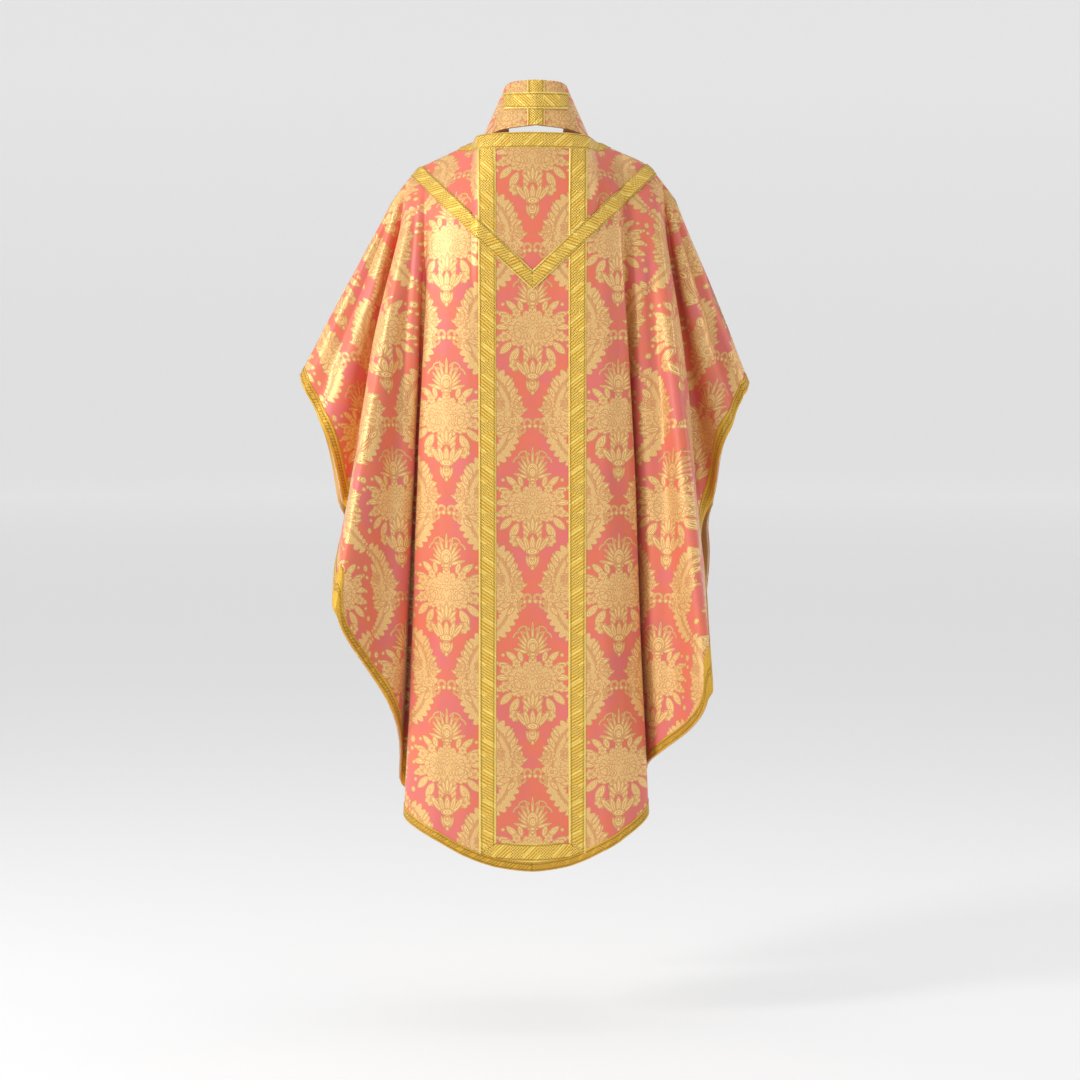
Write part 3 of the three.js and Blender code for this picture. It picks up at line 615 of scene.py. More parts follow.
def chasuble_face(face, looks):
    """All the pieces of one face: braids, outer cloth in three panels, interlining and lining."""
    sheet = Sheet(face)
    hems = {side: hem_braid(sheet, side, sign, looks) for side, sign in SIDES}
    columns = {side: column_braid(sheet, side, sign, looks) for side, sign in SIDES}
    vees = [v_braid(sheet, side, sign, looks) for side, sign in SIDES]
    middle = [neck_braid(sheet, looks), cross_band(sheet, looks), *vees]
    for part, first, last, on_it in (
        ("brocade_left", -LAST_RULING, -SEAM_RULING, [hems["left"], columns["left"]]),
        ("brocade_centre", -SEAM_RULING, SEAM_RULING, middle),
        ("brocade_right", SEAM_RULING, LAST_RULING, [hems["right"], columns["right"]]),
    ):
        obj, flat = cloth_piece(sheet, part, first, last, CLOTH_AT, CLOTH_AT + CLOTH, 1,
                                looks["brocade"], False)
        declare_sheet(flat)
    for part, low, thick, rests_on in (
        ("interlining", INTERLINING_AT, INTERLINING, [f"{face}_lining_cloth"]),
        ("lining", 0, LINING, ["stole_brocade_left_cloth", "stole_brocade_right_cloth"]),
    ):
        obj, flat = cloth_piece(sheet, part, -LAST_RULING, LAST_RULING, low, low + thick, HIDDEN_EVERY,
                                looks[part], True)
        declare_sheet(flat)


# ---- stole ---------------------------------------------------------------------------------------
STOLE_SHIFT = 6
STOLE_LENGTH = 1000
STOLE_FRINGE = 60
STOLE_BRAID = 33
CROSS_WIDTH = 30
CROSS_SPAN = 108
CROSS_HEIGHT = 72
STOLE_CLOTH_AT = LINING + GAP
STOLE_BRAID_AT = STOLE_CLOTH_AT + CLOTH + GAP
STOLE_BAR_AT = STOLE_BRAID_AT + BRAID + GAP
# Edges of the stole from the middle of the neck over the shoulder and down the front.
STOLE_INNER = [
    (0, -45, 110), (34, -34, 108), (53, -10, 99), (55, 20, 73), (48, 50, 24),
    (40, 70, -50), (36, 80, -150), (34, 84, -300), (34, 86, -650), (34, 86, -STOLE_LENGTH),
]
STOLE_OUTER = [
    (0, -82, 29), (60, -67, 21), (94, -22, 4), (107, 18, -27), (119, 44, -66),
    (130, 66, -125), (134, 78, -210), (136, 84, -340), (137, 86, -670), (138, 86, -STOLE_LENGTH),
]
STOLE_ALONG = 420                  # points along and across each half of the stole
STOLE_ACROSS = 40
STOLE_GRADING = 1.1
END_BRAID_ROWS = 14
END_BRAID_COLUMNS = 70
STOLE_SEAM = 0.0008                # ways just short of the seam at the neck, and of the ends
STOLE_END = 0.9995
CROSS_MARGIN = 0.004
CROSS_ALONG = 60
CROSS_BAR_ALONG = 80
FRINGE_STRANDS = 64
FRINGE_THICK = 1.5
FRINGE_RINGS = 16
FRINGE_SIDES = 6
FRINGE_SWAY = 0.8


class Stole:
    """The stole as one strip: `way` from -1 over 0 at the neck to 1, `across` from inner edge to outer."""

    def __init__(self):
        self.inner = [smooth_curve(column) for column in np.array(STOLE_INNER, float).T]
        self.outer = [smooth_curve(column) for column in np.array(STOLE_OUTER, float).T]
        self.sections = len(STOLE_INNER) - 1
        self.lift = box_mm("stole_lining_left")[0][2] + STOLE_LENGTH

    def point(self, way, across):
        place = np.abs(way) * self.sections
        x, y, z = (a(place) * (1 - across) + b(place) * across for a, b in zip(self.inner, self.outer))
        return np.stack([np.sign(way) * x + STOLE_SHIFT, y, z + self.lift], axis=-1)

    def normal(self, way, across):
        step = 0.001
        middle = np.clip(way, step - 1, 1 - step)
        along = self.point(middle + step, across) - self.point(middle - step, across)
        sideways = self.point(way, 1.0 + 0 * across) - self.point(way, 0 * across)
        return unit(np.cross(sideways, along))

    def raised(self, way, across, height):
        height = np.broadcast_to(height, np.shape(way))[..., None]
        return self.point(way, across) + self.normal(way, across) * height

    def flat(self, way, across):
        """Flat places: across the strip, and down along its middle."""
        line = way[:, 0]
        run = run_of(self.point(line, 0.5 + 0 * line))
        width = np.linalg.norm(self.point(line, 1 + 0 * line) - self.point(line, 0 * line), axis=-1)
        down = np.broadcast_to(run[:, None], across.shape)
        return np.stack([(across - 0.5) * width[:, None], -down], axis=-1)

    def end_braid_way(self):
        """Way where the braid at the end begins."""
        above = STOLE_INNER[-2][2]
        share = 1 - STOLE_BRAID / (above + STOLE_LENGTH)
        return (self.sections - 1 + share) / self.sections


def stole_layer(stole, name, ways, across, low, high, material):
    """Layer of cloth along the stole between two heights above its surface."""
    way, share = np.meshgrid(ways, across, indexing="ij")
    flat = stole.flat(way, share)
    outer, inner = stole.raised(way, share, high), stole.raised(way, share, low)
    obj = shell(f"{name}_cloth", outer, inner, flat, material)
    return belongs(obj, name, "stole"), flat


def fringe_strand(start, strand):
    """Rings of points around one twisted cord that hangs from its start and sways a little."""
    angles = np.linspace(0, 2 * math.pi, FRINGE_SIDES, endpoint=False)
    drop = np.linspace(0.4, STOLE_FRINGE, FRINGE_RINGS)
    way_down = (drop / STOLE_FRINGE) ** 2
    sway_x = FRINGE_SWAY * math.sin(strand * 2.1)
    sway_y = FRINGE_SWAY * math.cos(strand * 1.3)
    centre = start + np.stack([sway_x * way_down, sway_y * way_down, -drop], axis=-1)
    thick = FRINGE_THICK / 2 * (0.8 + 0.2 * np.cos(drop * 1.9 + strand)) * (1 + 0.25 * way_down)
    ring = np.stack([np.cos(angles), np.sin(angles), 0 * angles], axis=-1)
    flat = np.stack([np.repeat(drop, FRINGE_SIDES), np.tile(angles, FRINGE_RINGS)], axis=-1)
    return (centre[:, None, :] + ring[None, :, :] * thick[:, None, None]).reshape(-1, 3), flat


def fringe(stole, name, sign, looks):
    """Twisted cords hanging from the end of the stole, each a thin tube."""
    points, faces, flats = [], [], []
    for strand in range(FRINGE_STRANDS):
        share = (strand + 0.5) / FRINGE_STRANDS
        start = stole.raised(np.array([float(sign)]), np.array([share]), 1.0)[0]
        tube, flat = fringe_strand(start, strand)
        index = np.arange(len(tube)).reshape(FRINGE_RINGS, FRINGE_SIDES) + strand * len(tube)
        after = np.roll(index, -1, axis=1)
        faces.append(np.stack([index[:-1], index[1:], after[1:], after[:-1]], axis=-1).reshape(-1, 4))
        points.append(tube)
        flats.append(flat)
    obj = mesh_object(f"{name}_cords", *map(np.concatenate, (points, faces, flats)), looks["fringe"])
    return belongs(obj, name, "stole")


def stole_strip_braid(stole, name, way, across, height, looks):
    """Braid on the stole over a grid of (way, across): along its length first, then across."""
    profile = braid_profile(np.linspace(0, 1, way.shape[1]))
    top = stole.raised(way, across, height + profile[None, :])
    low = stole.raised(way, across, height)
    obj = shell(f"{name}_braid", top, low, braid_flat(top), looks["galloon"])
    return belongs(obj, name, "stole")


def locate_on_neck(stole, x, z):
    """Way and share across of the points seen at x, z from behind the neck."""
    way = (x - STOLE_SHIFT) / (STOLE_INNER[1][0] * stole.sections)
    return seen_at(stole.point, way, np.full(np.shape(x), 0.4), x, z, 0.002, (0.05, 0.2), 1)


def cross_upright(stole, looks):
    """Upright bar of the cross: every one of its lines keeps its distance from the middle."""
    x = np.linspace(-CROSS_WIDTH / 2, CROSS_WIDTH / 2, BRAID_ACROSS)
    shape = (CROSS_ALONG, BRAID_ACROSS)
    across = np.broadcast_to(np.linspace(CROSS_MARGIN, 1 - CROSS_MARGIN, CROSS_ALONG)[:, None], shape)
    way = np.broadcast_to(x[None, :] / (STOLE_INNER[1][0] * stole.sections), shape)
    step = 0.001
    for _ in range(6):
        here = stole.point(way, across)[..., 0]
        slope = (stole.point(way + step, across)[..., 0] - here) / step
        way = way + (STOLE_SHIFT + x[None, :] - here) / slope
    return stole_strip_braid(stole, "stole_neck_cross_upright", way, across, STOLE_BRAID_AT, looks)


def cross_bar(stole, looks):
    along = STOLE_SHIFT + np.linspace(-CROSS_SPAN / 2, CROSS_SPAN / 2, CROSS_BAR_ALONG)
    middle = CROSS_HEIGHT + stole.lift
    height = middle + np.linspace(-CROSS_WIDTH / 2, CROSS_WIDTH / 2, BRAID_ACROSS)
    way, share = locate_on_neck(stole, *np.meshgrid(along, height, indexing="ij"))
    return stole_strip_braid(stole, "stole_neck_cross_bar", way, share, STOLE_BAR_AT, looks)


def make_stole(looks):
    stole = Stole()
    cross = [cross_upright(stole, looks), cross_bar(stole, looks)]
    across = np.linspace(0, 1, STOLE_ACROSS)
    braid_across = np.linspace(0, 1, END_BRAID_COLUMNS)
    for side, sign in SIDES:
        ways = sign * np.linspace(STOLE_SEAM, 1, STOLE_ALONG) ** STOLE_GRADING
        end = sign * np.linspace(stole.end_braid_way(), STOLE_END, END_BRAID_ROWS)
        way, share = np.meshgrid(end, braid_across, indexing="ij")
        name = f"stole_end_galloon_{side}"
        galloon = stole_strip_braid(stole, name, way.T, share.T, STOLE_BRAID_AT, looks)
        tassels = fringe(stole, f"stole_fringe_{side}", sign, looks)
        cloth, lining = f"stole_brocade_{side}", f"stole_lining_{side}"
        obj, flat = stole_layer(stole, cloth, ways, across, STOLE_CLOTH_AT, STOLE_CLOTH_AT + CLOTH,
                                looks["brocade"])
        on_it = [galloon, tassels] + (cross if side == "left" else [])
        declare_sheet(flat)
        obj, flat = stole_layer(stole, lining, ways, across, 0, LINING, looks["lining"])
        declare_sheet(flat)


# ---- shading sums --------------------------------------------------------------------------------
class Sum:
    """A number in a material, so that shading sums read like arithmetic."""

    def __init__(self, tree, socket):
        self.tree = tree
        self.socket = socket

    def math(self, operation, *others, clamp=False):
        node = self.tree.nodes.new("ShaderNodeMath")
        node.operation = operation
        node.use_clamp = clamp
        for slot, value in zip(node.inputs, (self, *others)):
            if isinstance(value, Sum):
                self.tree.links.new(value.socket, slot)
            else:
                slot.default_value = float(value)
        return Sum(self.tree, node.outputs[0])

    def __add__(self, other):
        return self.math("ADD", other)

    def __sub__(self, other):
        return self.math("SUBTRACT", other)

    def __mul__(self, other):
        return self.math("MULTIPLY", other)

    def __truediv__(self, other):
        return self.math("DIVIDE", other)

    def __neg__(self):
        return self * -1

    def abs(self):
        return self.math("ABSOLUTE")

    def sin(self):
        return self.math("SINE")

    def sqrt(self):
        return self.math("SQRT")

    def above(self, edge):
        return self.math("GREATER_THAN", edge)

    def maximum(self, other):
        return self.math("MAXIMUM", other)

    def minimum(self, other):
        return self.math("MINIMUM", other)

    def wrapped(self, low, high):
        return self.math("WRAP", high, low)

    def rounded(self):
        return self.math("ROUND")

    def angle(self, across):
        """Angle of the point whose upward part this is."""
        return self.math("ARCTAN2", across)

    def ramp(self, low, high):
        """0 below low and 1 above high, smooth between."""
        node = self.tree.nodes.new("ShaderNodeMapRange")
        node.interpolation_type = "SMOOTHSTEP"
        node.inputs["From Min"].default_value = low
        node.inputs["From Max"].default_value = high
        self.tree.links.new(self.socket, node.inputs["Value"])
        return Sum(self.tree, node.outputs["Result"])

    def over(self, value):
        """The value where it is above 0, and this elsewhere: a petal laid over what is beneath."""
        laid = value.above(0)
        node = self.tree.nodes.new("ShaderNodeMix")
        node.data_type = "FLOAT"
        self.tree.links.new(laid.socket, node.inputs["Factor"])
        self.tree.links.new(self.socket, node.inputs[2])
        self.tree.links.new(value.socket, node.inputs[3])
        return Sum(self.tree, node.outputs[0])


HARMLESS = 1e-9                    # too small to move anything


class Spot:
    """A flat place in a material, x to the right and y up, in millimetres."""

    def __init__(self, tree, socket):
        self.tree = tree
        self.socket = socket

    @staticmethod
    def of(x, y):
        node = x.tree.nodes.new("ShaderNodeCombineXYZ")
        x.tree.links.new(x.socket, node.inputs[0])
        x.tree.links.new(y.socket, node.inputs[1])
        return Spot(x.tree, node.outputs[0])

    def parts(self):
        node = self.tree.nodes.new("ShaderNodeSeparateXYZ")
        self.tree.links.new(self.socket, node.inputs[0])
        return Sum(self.tree, node.outputs[0]), Sum(self.tree, node.outputs[1])

    def seen_from(self, x, y, turn=0.0, width=1.0, height=1.0):
        """This place in the own axes of a figure at x, y that is turned by `turn` degrees and scaled."""
        node = self.tree.nodes.new("ShaderNodeMapping")
        node.vector_type = "TEXTURE"
        node.inputs["Location"].default_value = (x, y, 0)
        node.inputs["Rotation"].default_value = (0, 0, math.radians(turn))
        node.inputs["Scale"].default_value = (width, height, 1)
        self.tree.links.new(self.socket, node.inputs["Vector"])
        return Spot(self.tree, node.outputs[0])

    def vector(self, operation, other=None):
        node = self.tree.nodes.new("ShaderNodeVectorMath")
        node.operation = operation
        self.tree.links.new(self.socket, node.inputs[0])
        if other is not None:
            node.inputs[1].default_value = (*other, 0)
        return node

    def length(self):
        return Sum(self.tree, self.vector("LENGTH").outputs["Value"])

    def mirrored(self):
        return Spot(self.tree, self.vector("ABSOLUTE").outputs["Vector"])

    def moved(self, x, y):
        return Spot(self.tree, self.vector("ADD", (x, y)).outputs["Vector"])

    def after(self, value):
        """This same place, but worked out after the value, so that few sums are held at once."""
        node = self.tree.nodes.new("ShaderNodeVectorMath")
        node.operation = "MULTIPLY_ADD"
        self.tree.links.new(value.socket, node.inputs[0])
        node.inputs[1].default_value = (HARMLESS,) * 3
        self.tree.links.new(self.socket, node.inputs[2])
        return Spot(self.tree, node.outputs["Vector"])


# ---- figures of the damask. Each is above 0 inside, 0 on its outline, in millimetres -------------
LEAF_MIDDLE = 0.75                 # a leaf is where two circles overlap; their middles are this far out
LEAF_HALF = 0.5
PETAL_NOTCH = 0.34                 # depth of the notch between petals, as a share of the radius
SCALLOP = 0.2
SCALLOP_REACH = 0.85


def oval(spot, x, y, width, height, turn=0.0):
    """Oval from its half width and half height."""
    inside = spot.seen_from(x, y, turn, width, height)
    return (inside.length() * -1 + 1) * min(width, height)


def leaf(spot, x, y, length, width, turn=0.0):
    """Pointed leaf that starts at x, y and runs `length` at `turn` degrees from upright."""
    lean = math.radians(turn)
    centre = (x - math.sin(lean) * length / 2, y + math.cos(lean) * length / 2)
    own = spot.seen_from(*centre, turn, width, length / 2)
    return (own.mirrored().moved(LEAF_MIDDLE, 0).length() * -1 + LEAF_MIDDLE + LEAF_HALF) * width


def flower(spot, x, y, radius, petals, turn=0.0):
    """Open flower: rounded petals around a heart."""
    own = spot.seen_from(x, y, turn)
    across, up = own.parts()
    beat = (up.angle(across) * (petals / 2)).sin().abs()
    return own.length() * -1 + (beat * PETAL_NOTCH + (1 - PETAL_NOTCH)) * radius


def ring(spot, x, y, radius, half_width):
    return (spot.seen_from(x, y).length() - radius).abs() * -1 + half_width


def band(spot, x, y, radius, half_width, lobes):
    """Ring of slanting feathered lobes, as of a long acanthus leaf bent round."""
    own = spot.seen_from(x, y)
    across, up = own.parts()
    out = (own.length() - radius).abs()
    beat = (up.angle(across) * (lobes / 2) + out * (0.5 / half_width)).sin().abs()
    narrowed = spot.parts()[0].ramp(STEM_NARROWS, REPEAT_WIDTH / 4) * (half_width - STEM_END)
    return (beat * 0.5 + 0.5) * half_width - out - narrowed


def mass(spot, x, y, width, height, lobes):
    """Oval bed of foliage with a scalloped edge."""
    own = spot.seen_from(x, y, 0, width, height)
    across, up = own.parts()
    beat = (up.angle(across) * (lobes / 2)).sin().abs()
    return (own.length() * -1 + (beat * SCALLOP + SCALLOP_REACH)) * min(width, height)


def arc(spot, x, y, radius, half_width, *kept):
    """Part of a ring, where an oval (x, y, half width, half height) keeps it."""
    return ring(spot, x, y, radius, half_width).minimum(oval(spot, *kept))


class Drawing:
    """Figures laid one over the other. `height` is above 0 on them and 0 along every outline."""

    def __init__(self, spot):
        self.spot = spot
        self.height = oval(spot, 0, 0, 1, 1) * 0.001 - 1

    def lay(self, shape, *sizes):
        value = shape(self.spot.after(self.height), *sizes)
        self.height = self.height.over(value)

    def lay_each(self, shape, rows):
        for sizes in rows:
            self.lay(shape, *sizes)

    def rose(self, x, y, radius, turn):
        """Full rose: rings of petals, each laid over the last."""
        for share, petals, twist in ((1.0, 7, 0), (0.76, 6, 31), (0.54, 5, 12), (0.33, 3, 50)):
            self.lay(flower, x, y, radius * share, petals, turn + twist)


REPEAT_WIDTH = 300
REPEAT_HEIGHT = 306
CELL_TOP = 112                     # the repeat is cut where the least crosses it
BOUQUET_AT = -658                  # a bouquet's middle on the centre line, from the neckline down
STEM = (128, -148, 93)             # the curling stem between two bouquets is part of this circle
STEM_NARROWS = 50                  # out from here a stem's leaves narrow down to the next stem
STEM_END = 5


def scrolls(drawing):
    """The curling stems between the bouquets, with feathered leaves, roses and daisies."""
    x, y, radius = STEM
    again = y + REPEAT_HEIGHT
    drawing.lay_each(mass, [(53, -132, 18, 28, 13), (49, -172, 20, 14, 9)])
    for middle in (again, y):
        drawing.lay(band, x, middle, radius + 6, 15, 52)
        drawing.lay(band, x, middle, radius - 6, 10, 64)
        drawing.lay(ring, x, middle, radius, 2.4)
    drawing.lay_each(leaf, [
        (40, -118, 26, 10, 24), (34, -124, 22, 9, 52), (48, -98, 24, 9, 36), (56, -118, 24, 12, -34),
        (52, -136, 24, 12, -78), (48, -152, 26, 12, -112), (60, -100, 20, 9, -14), (22, -140, 16, 7, 64),
    ])
    drawing.rose(28, -131, 14.5, 8)
    drawing.rose(58, -124, 11, 30)
    drawing.lay_each(flower, [(34, -157, 11.5, 6, 20), (56, -155, 10, 7, 5)])
    drawing.lay_each(oval, [(34, -157, 3.4, 3.4), (56, -155, 3, 3)])
    drawing.lay_each(leaf, [
        (36, -168, 26, 11, -104), (30, -172, 24, 10, -138), (48, -178, 22, 9, -84),
        (24, -168, 16, 8, 170),
    ])
    drawing.lay_each(ring, [(9, -158, 6, 2.8), (19, -170, 6, 2.6)])
    drawing.lay_each(oval, [(5, -164, 4.6, 4.6), (14, -165, 4.2, 5)])
    drawing.lay_each(oval, [(68, 46, 5.5, 7), (70, 30, 4.4, 4.4), (67, -42, 5, 6)])


def plume(drawing):
    """Tall plume of narrow leaves over a ringed base, the outer ones curling over."""
    drawing.lay(arc, 21, 76, 13, 2.0, 22, 86, 18, 12)
    drawing.lay(arc, 15, 88, 10, 1.8, 16, 96, 14, 10)
    drawing.lay_each(leaf, [
        (1.5, 50, 36, 8, -74), (1.5, 53, 32, 7, -58), (1.5, 53, 40, 7, -42), (1.5, 53, 46, 7, -28),
        (1.5, 53, 54, 6.4, -13), (0, 52, 60, 6.6, 0),
    ])
    drawing.lay_each(oval, [(0, 65, 11, 15), (0, 61, 7, 9), (0, 49, 12, 3.8), (0, 43, 9, 3.6)])


def bouquet(drawing):
    """Roses, daisies, buds and leaves around the middle line."""
    drawing.lay(mass, 0, 3, 49, 33, 22)
    drawing.lay_each(leaf, [
        (24, 34, 32, 13, -48), (18, 34, 24, 11, -16), (32, 24, 34, 13, -72), (36, 10, 32, 13, -94),
        (40, -4, 30, 13, -112), (34, -16, 34, 15, -134), (24, -26, 34, 16, -152), (12, -32, 24, 12, 178),
    ])
    drawing.lay_each(oval, [(62, 34, 4, 4), (66, 6, 4, 4), (62, -24, 4, 4), (52, 48, 4, 4)])
    drawing.lay_each(flower, [(47, 22, 11.5, 5, 15), (49, -8, 11, 5, 40), (28, 33, 9.5, 6, 0)])
    drawing.lay_each(oval, [(47, 22, 3, 3), (49, -8, 3, 3), (28, 33, 2.6, 2.6)])
    drawing.rose(25, -4, 22.5, 12)
    drawing.lay_each(flower, [(0, 24, 19.5, 11, 90), (0, 24, 12, 9, 90)])
    drawing.lay(oval, 0, 24, 5.2, 5.2)
    drawing.lay_each(leaf, [(1, -48, 28, 9, -42), (0, -48, 32, 9, -20), (0, -48, 36, 9, 0)])


def tulip(drawing):
    """Cup of pointed petals with small flowers beside it and a bud hanging below."""
    drawing.lay(arc, 17, -66, 11, 2.0, 20, -60, 12, 12)
    drawing.lay(flower, 31, -58, 11.5, 5, 30)
    drawing.lay(oval, 31, -58, 3, 3)
    drawing.lay_each(leaf, [(8, -80, 40, 11, -36), (5, -82, 38, 11, -16), (0, -82, 36, 12, 0)])
    drawing.lay(oval, 0, -77, 13, 6.5)
    drawing.lay(leaf, 4, -106, 24, 8, -18)
    drawing.lay_each(oval, [(0, -92, 8.5, 10.5), (0, -89, 4, 5), (0, -106, 4, 4.6)])


def damask(x, y):
    """Height of the woven figure over its outline: above 0 on the figure, below 0 on the ground."""
    column = (x / (REPEAT_WIDTH / 2)).rounded()
    across = (x - column * (REPEAT_WIDTH / 2)).abs()
    drop = column.wrapped(0, 2) * (REPEAT_HEIGHT / 2)
    up = (y - BOUQUET_AT + drop).wrapped(CELL_TOP - REPEAT_HEIGHT, CELL_TOP)
    drawing = Drawing(Spot.of(across, up))
    for part in (scrolls, plume, bouquet, tulip):
        part(drawing)
    return drawing.height


# ---- materials -----------------------------------------------------------------------------------
class Cloth:
    """A material in the making: its tree, its shader, and the flat place of the cloth in millimetres."""

    def __init__(self, name):
        self.material = bpy.data.materials.new(name)
        self.material.use_nodes = True
        self.tree = self.material.node_tree
        self.tree.nodes.clear()
        self.shader = self.tree.nodes.new("ShaderNodeBsdfPrincipled")
        output = self.tree.nodes.new("ShaderNodeOutputMaterial")
        self.tree.links.new(self.shader.outputs[0], output.inputs["Surface"])
        place = self.tree.nodes.new("ShaderNodeUVMap")
        place.uv_map = "flat"
        scaled = self.tree.nodes.new("ShaderNodeVectorMath")
        scaled.operation = "SCALE"
        scaled.inputs["Scale"].default_value = 1 / MM
        self.tree.links.new(place.outputs[0], scaled.inputs[0])
        self.spot = Spot(self.tree, scaled.outputs[0])

    def set(self, **values):
        for name, value in values.items():
            self.shader.inputs[name.replace("_", " ")].default_value = value

    def noise(self, scale, detail=2.0, stretch=(1, 1)):
        """Noise over the cloth; `scale` is the size of its grains in millimetres."""
        node = self.tree.nodes.new("ShaderNodeTexNoise")
        node.noise_dimensions = "2D"
        node.inputs["Scale"].default_value = 1
        node.inputs["Detail"].default_value = detail
        own = self.spot.seen_from(0, 0, 0, scale * stretch[0], scale * stretch[1])
        self.tree.links.new(own.socket, node.inputs["Vector"])
        return Sum(self.tree, node.outputs[0])

    def colour(self, share, low, high):
        node = self.tree.nodes.new("ShaderNodeMix")
        node.data_type = "RGBA"
        self.tree.links.new(share.socket, node.inputs["Factor"])
        for slot, value in ((node.inputs[6], low), (node.inputs[7], high)):
            if isinstance(value, bpy.types.NodeSocket):
                self.tree.links.new(value, slot)
            else:
                slot.default_value = (*value, 1)
        return node.outputs[2]

    def link(self, name, value):
        socket = value.socket if isinstance(value, Sum) else value
        self.tree.links.new(socket, self.shader.inputs[name])

    def bump(self, height, depth):
        """Relief from a height between 0 and 1, `depth` millimetres deep."""
        node = self.tree.nodes.new("ShaderNodeBump")
        node.inputs["Strength"].default_value = 1
        node.inputs["Distance"].default_value = depth * MM
        self.tree.links.new(height.socket, node.inputs["Height"])
        self.tree.links.new(node.outputs[0], self.shader.inputs["Normal"])


GROUND = (0.78, 0.160, 0.085)
GROUND_PINK = (0.74, 0.150, 0.140)
GROUND_THREAD = (0.93, 0.28, 0.17)
FIGURE = (0.89, 0.57, 0.18)
# pale speckle colour of the figure: painted glints of gold thread
FIGURE_GLINT = (0.99, 0.76, 0.33)
OUTLINE = (0.58, 0.19, 0.065)
SHEEN = (0.92, 0.78, 0.95, 1)
GOLD = (0.86, 0.49, 0.04)
GOLD_PALE = (1.0, 0.80, 0.22)
GOLD_DARK = (0.34, 0.15, 0.007)
HEM_GOLD = (0.66, 0.36, 0.03)
HEM_GOLD_DARK = (0.26, 0.12, 0.01)
SATIN = (0.635, 0.33, 0.088)
SATIN_WORN = (0.665, 0.355, 0.10)
SATIN_THREAD = (0.80, 0.50, 0.18)
CANVAS = (0.66, 0.60, 0.48)
CANVAS_PALE = (0.80, 0.75, 0.62)

RIB = 6.2                          # millimetres from one rib to the next, and so on
STREAK = 26.5
TRELLIS = 10.0
PICOT = 3.0
SEAM_AT = 3.4                      # from the galloon's edge
PICOT_AT = 1.7
SATIN_LINE = 1.2
CANVAS_YARN = 1.8
TWIST = 2.4                        # of a fringe cord


def wave(value, length):
    """Sine wave of that length along a value."""
    return (value * (2 * math.pi / length)).sin()


def brocade():
    """Woven ground with a gold figure: the figure is smoother, brighter and outlined."""
    cloth = Cloth("brocade")
    figure = damask(*cloth.spot.parts())
    on_figure = figure.ramp(-0.15, 0.35)
    inside = figure.ramp(0.4, 1.4)
    drawn = (figure * 2.4).sin().ramp(-0.9, 0.3)
    # fine grain of the weave, which roughens and bumps the cloth; on the figure it also mixes in painted
    # glints of gold thread
    grain_and_glint = cloth.noise(1.6, 2.0, (1, 0.7)).ramp(0.35, 0.65)
    patch = cloth.noise(70, 2.0).ramp(0.4, 0.65)
    light = cloth.colour(grain_and_glint, FIGURE, FIGURE_GLINT)
    lines = cloth.colour((drawn * 0.8 + 0.2).minimum(inside), OUTLINE, light)
    ground = cloth.colour(patch, GROUND, GROUND_PINK)
    thread = cloth.noise(0.7, 1.0, (3, 1)).ramp(0.2, 0.8)
    ground = cloth.colour(thread * 0.25, ground, GROUND_THREAD)
    cloth.link("Base Color", cloth.colour(on_figure, ground, lines))
    cloth.link("Metallic", on_figure * 0.3)
    cloth.link("Roughness", (on_figure * -0.02 + 0.42) + grain_and_glint * 0.06)
    cloth.set(Sheen_Weight=0.25, Sheen_Roughness=0.35, Sheen_Tint=SHEEN, Specular_IOR_Level=0.5)
    cloth.bump(thread * 0.5 + grain_and_glint * 0.5, 0.12)
    return cloth.material


def woven_gold(name, half_width, block, pale, middle, dark):
    """Galloon: slanted ribs in turn with a trellis of small flowers, and picot lines along both edges."""
    cloth = Cloth(name)
    run, side = cloth.spot.parts()
    from_edge = side.abs() * -1 + half_width
    slant = wave(run + side, RIB).ramp(-0.7, 0.7)
    streak = wave(run + side, STREAK).ramp(0.55, 1)
    dots = (wave(run + side, TRELLIS) * wave(run - side, TRELLIS)).abs().ramp(0.45, 0.8)
    turn = wave(run, block).ramp(0.1, 0.5)
    weave = cloth.noise(1.5, 2.0, (1.2, 0.8)).ramp(0.38, 0.62)
    ribs = slant * 0.45 + weave * 0.35 + 0.2
    flowers = (dots * -0.95 + 1) * (weave * 0.4 + 0.6)
    tone = ribs * (turn * -1 + 1) + flowers * turn
    tone = tone + streak * (turn * -1 + 1) * 0.35
    seam = (from_edge - SEAM_AT).abs().ramp(0.9, 0.35)
    chain = (from_edge - PICOT_AT).abs().ramp(0.9, 0.4) * wave(run, PICOT).ramp(-0.3, 0.4)
    body = cloth.colour(tone.ramp(0.05, 0.62), dark, middle)
    body = cloth.colour(tone.ramp(0.55, 1.1), body, pale)
    body = cloth.colour(from_edge.ramp(1.4, 0.9) * 0.7, body, pale)
    body = cloth.colour((seam * 0.8).maximum(chain * 0.75), body, dark)
    cloth.link("Base Color", body)
    cloth.set(Metallic=0.45, Roughness=0.38, Sheen_Weight=0.1, Specular_IOR_Level=0.5)
    cloth.bump((tone * 0.6 + weave * 0.4) * ((seam * -0.7) + 1), 0.5)
    return cloth.material


def satin_lining():
    cloth = Cloth("lining")
    x, y = cloth.spot.parts()
    thread = wave(x + y, SATIN_LINE).ramp(-1, 1)
    patch = cloth.noise(45, 3.0).ramp(0.35, 0.7)
    colour = cloth.colour(patch, SATIN, SATIN_WORN)
    cloth.link("Base Color", cloth.colour(thread * 0.2, colour, SATIN_THREAD))
    cloth.set(Roughness=0.45, Sheen_Weight=0.2, Specular_IOR_Level=0.4)
    cloth.bump(thread * 0.5 + cloth.noise(0.8, 2.0) * 0.5, 0.08)
    return cloth.material


